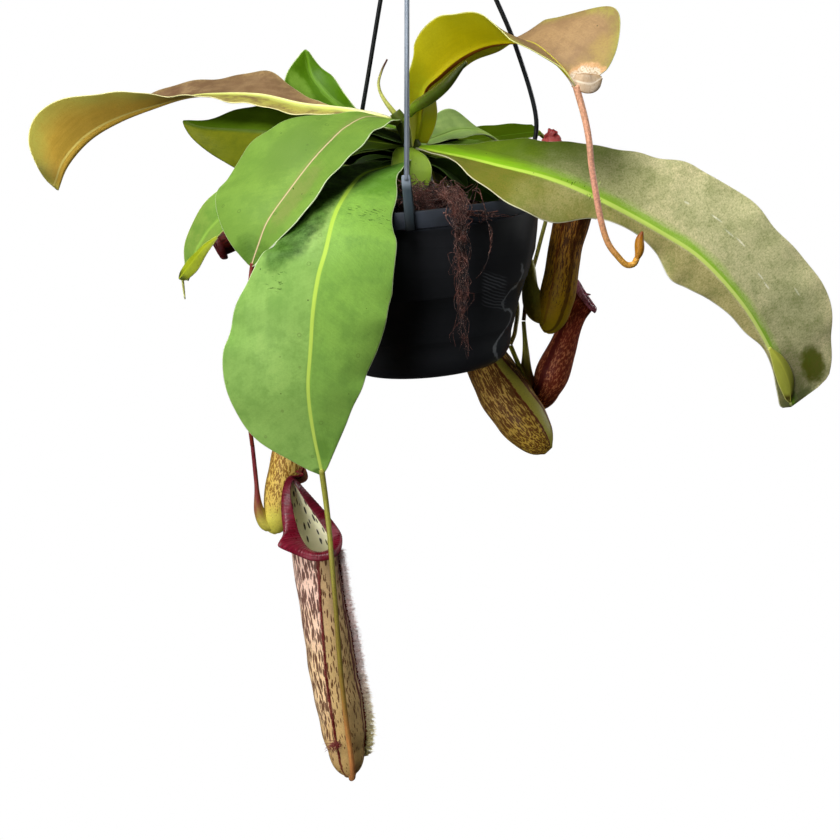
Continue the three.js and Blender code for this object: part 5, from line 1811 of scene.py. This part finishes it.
# The front strand is black plastic like the others: its grey is a painted sheen, and its darker
# lower part is painted shade.
strand_sheen_finish, strand_sheen_colour = plastic_finish("strand_painted_sheen", "76808c", "949ca8", rough=0.4)
low = strand_sheen_finish.where.parts()[2].falling(-0.215, -0.165)
strand_sheen_finish.colour(strand_sheen_finish.mix(low * 0.75, strand_sheen_colour, tint("3a424a")))
# The front clip's grey is a painted sheen on black plastic, and its darker lower parts are painted
# shade.
clip_sheen_finish, clip_sheen_and_shade = plastic_finish("clip_painted_sheen", "66707a", "7c868f", rough=0.4, spec=0.2)
height = clip_sheen_finish.where.parts()[2]
clip_sheen_and_shade = clip_sheen_finish.mix(height.falling(-0.262, -0.256), clip_sheen_and_shade, tint("303c42"))
clip_sheen_finish.colour(clip_sheen_finish.mix(height.falling(-0.288, -0.266), clip_sheen_and_shade, tint("080c0e")))
hook = tube("hook_bend", HOOK_POINTS, [2, 2], 16, 120)
finished(hook, hanger_finish, "black_plastic", "hook")
HUB = [(1, -50), (4.2, -50), (5, -50.8), (5.9, -53), (6, -54), (5.9, -55), (5, -57.2), (4.2, -58),
       (1, -58)]


def hub_formula(u, v):
    step = np.clip(v * 40, 0, 40) / 40
    radius = np.where((v < 0.001) | (v > 0.999), 0, smooth([r for r, _ in HUB], step))
    angle = 2 * math.pi * u
    high = smooth([z for _, z in HUB], step)
    return np.stack([radius * np.cos(angle), radius * np.sin(angle), high], axis=1), {}


finished(sheet("hook_hub", 40, 40, hub_formula), hanger_finish, "black_plastic", "hook")


def clip(name, azimuth, aside=0):
    deselect()
    bpy.ops.mesh.primitive_circle_add(vertices=len(CLIP_OUTLINE), radius=0.01, fill_type="NGON")
    piece = bpy.context.object
    piece.name = piece.data.name = name
    for vertex, (radius, high) in zip(piece.data.vertices, CLIP_OUTLINE):
        out = RIM_RADIUS + radius * (OUTER_SHARE if radius > 0 else 1)
        vertex.co = (out * MM, (aside - CLIP_WIDTH / 2) * MM, high * MM)
    bpy.ops.object.mode_set(mode="EDIT")
    bpy.ops.mesh.select_all(action="SELECT")
    bpy.ops.mesh.extrude_region_move(TRANSFORM_OT_translate={"value": (0, CLIP_WIDTH * MM, 0)})
    bpy.ops.object.mode_set(mode="OBJECT")
    for vertex in piece.data.vertices:
        if vertex.co.z > NARROW_ABOVE * MM:
            vertex.co.y = aside * MM + (vertex.co.y - aside * MM) * NARROW_SHARE
    bpy.ops.object.mode_set(mode="EDIT")
    bpy.ops.mesh.select_all(action="SELECT")
    bpy.ops.mesh.normals_make_consistent(inside=False)
    bpy.ops.mesh.bevel(offset=CLIP_BEVEL * MM, segments=3, affect="EDGES")
    bpy.ops.object.mode_set(mode="OBJECT")
    piece.rotation_euler = (0, 0, math.radians(azimuth))
    bpy.ops.object.transform_apply(rotation=True)
    piece.rotation_euler = (0, -POT_TILT, 0)
    piece.location = POT_CENTRE
    bpy.ops.object.transform_apply(location=True, rotation=True)
    bpy.ops.object.shade_smooth_by_angle(angle=math.radians(35))
    return piece


for name, strand in STRANDS.items():
    in_front = name == "strand_front"
    rod = tube(f"{name}_run", strand["points"], [1.7, 1.6, 1.6, 1.7], 16, 120)
    finished(rod, strand_sheen_finish if in_front else hanger_finish, "black_plastic", name)
    end = clip(f"{name}_clip", strand["azimuth"], strand.get("aside", 0))
    finished(end, clip_sheen_finish if in_front else hanger_finish, "black_plastic", name)

# %% [markdown]
# Thin red-brown roots have grown over the rim and hang down the pot in a matted bundle. Each
# fibre is a curve that wanders about one of four main runs, and the curves are given a
# round section and turned into a mesh.

# %% Grow the roots
ROOTS = [
    [[20, -14, -280], [24, -50, -272], [30, -78, -264], [35, -96, -270], [36, -97, -292],
     [37, -96, -322], [38, -92, -352], [42, -88, -378]],
    [[26, -20, -279], [31, -56, -270], [36, -80, -263], [40, -96, -271], [39, -99, -296],
     [41, -97, -326], [36, -94, -350], [34, -90, -366]],
    [[14, -18, -280], [18, -52, -273], [24, -80, -265], [29, -97, -271], [33, -99, -290],
     [34, -98, -316], [39, -96, -340], [46, -92, -362]],
    [[40, -60, -272], [44, -76, -263], [47, -92, -267], [51, -93, -280], [53, -92, -296],
     [49, -94, -310], [43, -94, -318]],
]
# How far fibres stray from each run, station by station, in millimetres.
SPREAD = [[4, 5, 4.5, 2.6, 1.8, 1.8, 2.4, 1.6]] * 3 + [[1.5, 1.2, 0.8, 0.4, 0.3, 0.3, 0.3]]
# The three long runs are drawn together, each halfway to their mean, and a little to the left.
ASIDE = [2.5, 0, 0]
bundle = np.mean(ROOTS[:3], axis=0)
LINES = [(np.array(root) + bundle) / 2 - ASIDE for root in ROOTS[:3]] + [ROOTS[3]]
# How far from the pot's middle a fibre has to stay, at four heights.
POT_HEIGHTS = [-393, -316, -286, RIM_Z]
POT_REACHES = [66, 84, 92, 92.5]
BUNDLE_FIBRES = 80
SIDE_FIBRES = 4
HANGING_POINTS = 44
HEAP_FIBRES = 62
HEAP_POINTS = 26


def wander(chance, count, size):
    """A smooth chance walk about nought."""
    steps = chance.normal(0, 1, (count // 3 + 4, 3))
    return smooth(steps, np.linspace(0, 1, count)) * size


chance = np.random.default_rng(3)
runs = []
for number in range(BUNDLE_FIBRES + SIDE_FIBRES):
    which = number % 3 if number < BUNDLE_FIBRES else 3
    line = Line(LINES[which])
    start = chance.uniform(0.0, 0.6)
    end = chance.uniform(start + 0.15, 1.0)
    share = np.linspace(start, end, HANGING_POINTS)
    spread = smooth(SPREAD[which], share)[:, None]
    offset = unit(chance.normal(0, 1, (1, 3))) * chance.uniform(0.2, 0.9) * spread
    size = chance.choice([0.9, 1.4, 2.6]) if which < 3 else 0.5
    points = line.at(share) + offset + wander(chance, HANGING_POINTS, size)
    centre = np.array([POT_X, 0])
    reach = np.linalg.norm(points[:, :2] - centre, axis=1)
    wall_reach = np.interp(points[:, 2], POT_HEIGHTS, POT_REACHES)
    least = np.where(points[:, 2] < RIM_Z, wall_reach, 0)
    push = np.maximum(least / np.maximum(reach, 1), 1)[:, None]
    points[:, :2] = centre + (points[:, :2] - centre) * push
    radii = np.linspace(1.0, 0.35, HANGING_POINTS) * chance.uniform(0.5, 1.3)
    runs.append((points, radii))
hanging = fibres("roots_hanging", runs, 0.3)

runs = []
for number in range(HEAP_FIBRES):
    angle = chance.uniform(-1.6, -1.0)
    reach = chance.uniform(34, 79)
    middle = np.array([POT_X + reach * math.cos(angle), reach * math.sin(angle), -271])
    middle[2] += chance.uniform(-4, 7)
    points = middle + wander(chance, HEAP_POINTS, chance.uniform(3, 7)) * (1, 1, 0.7)
    points[:, 2] = np.maximum(points[:, 2], -284 + points[:, 0] * 0.09)
    points[:, 0] = np.maximum(points[:, 0], -6)
    runs.append((points, np.full(HEAP_POINTS, chance.uniform(0.5, 1.2))))
heap = fibres("roots_heap", runs, 0.26)

root_finish = Finish("root_fibre", Roughness=0.65)
patch = root_finish.noise(130, detail=4).rising(0.35, 0.65)
# The pale flecks are painted glints on the fibres.
glint_fleck = root_finish.noise(1200, detail=2).rising(0.55, 0.7)
brown = root_finish.mix(patch, tint("180a06"), tint("54281c"))
root_finish.colour(root_finish.mix(glint_fleck * 0.7, brown, tint("c49484")))
root_finish.bump(glint_fleck, 0.0002, 0.6)
finished(hanging, root_finish, "root", "roots")
finished(heap, root_finish, "root")
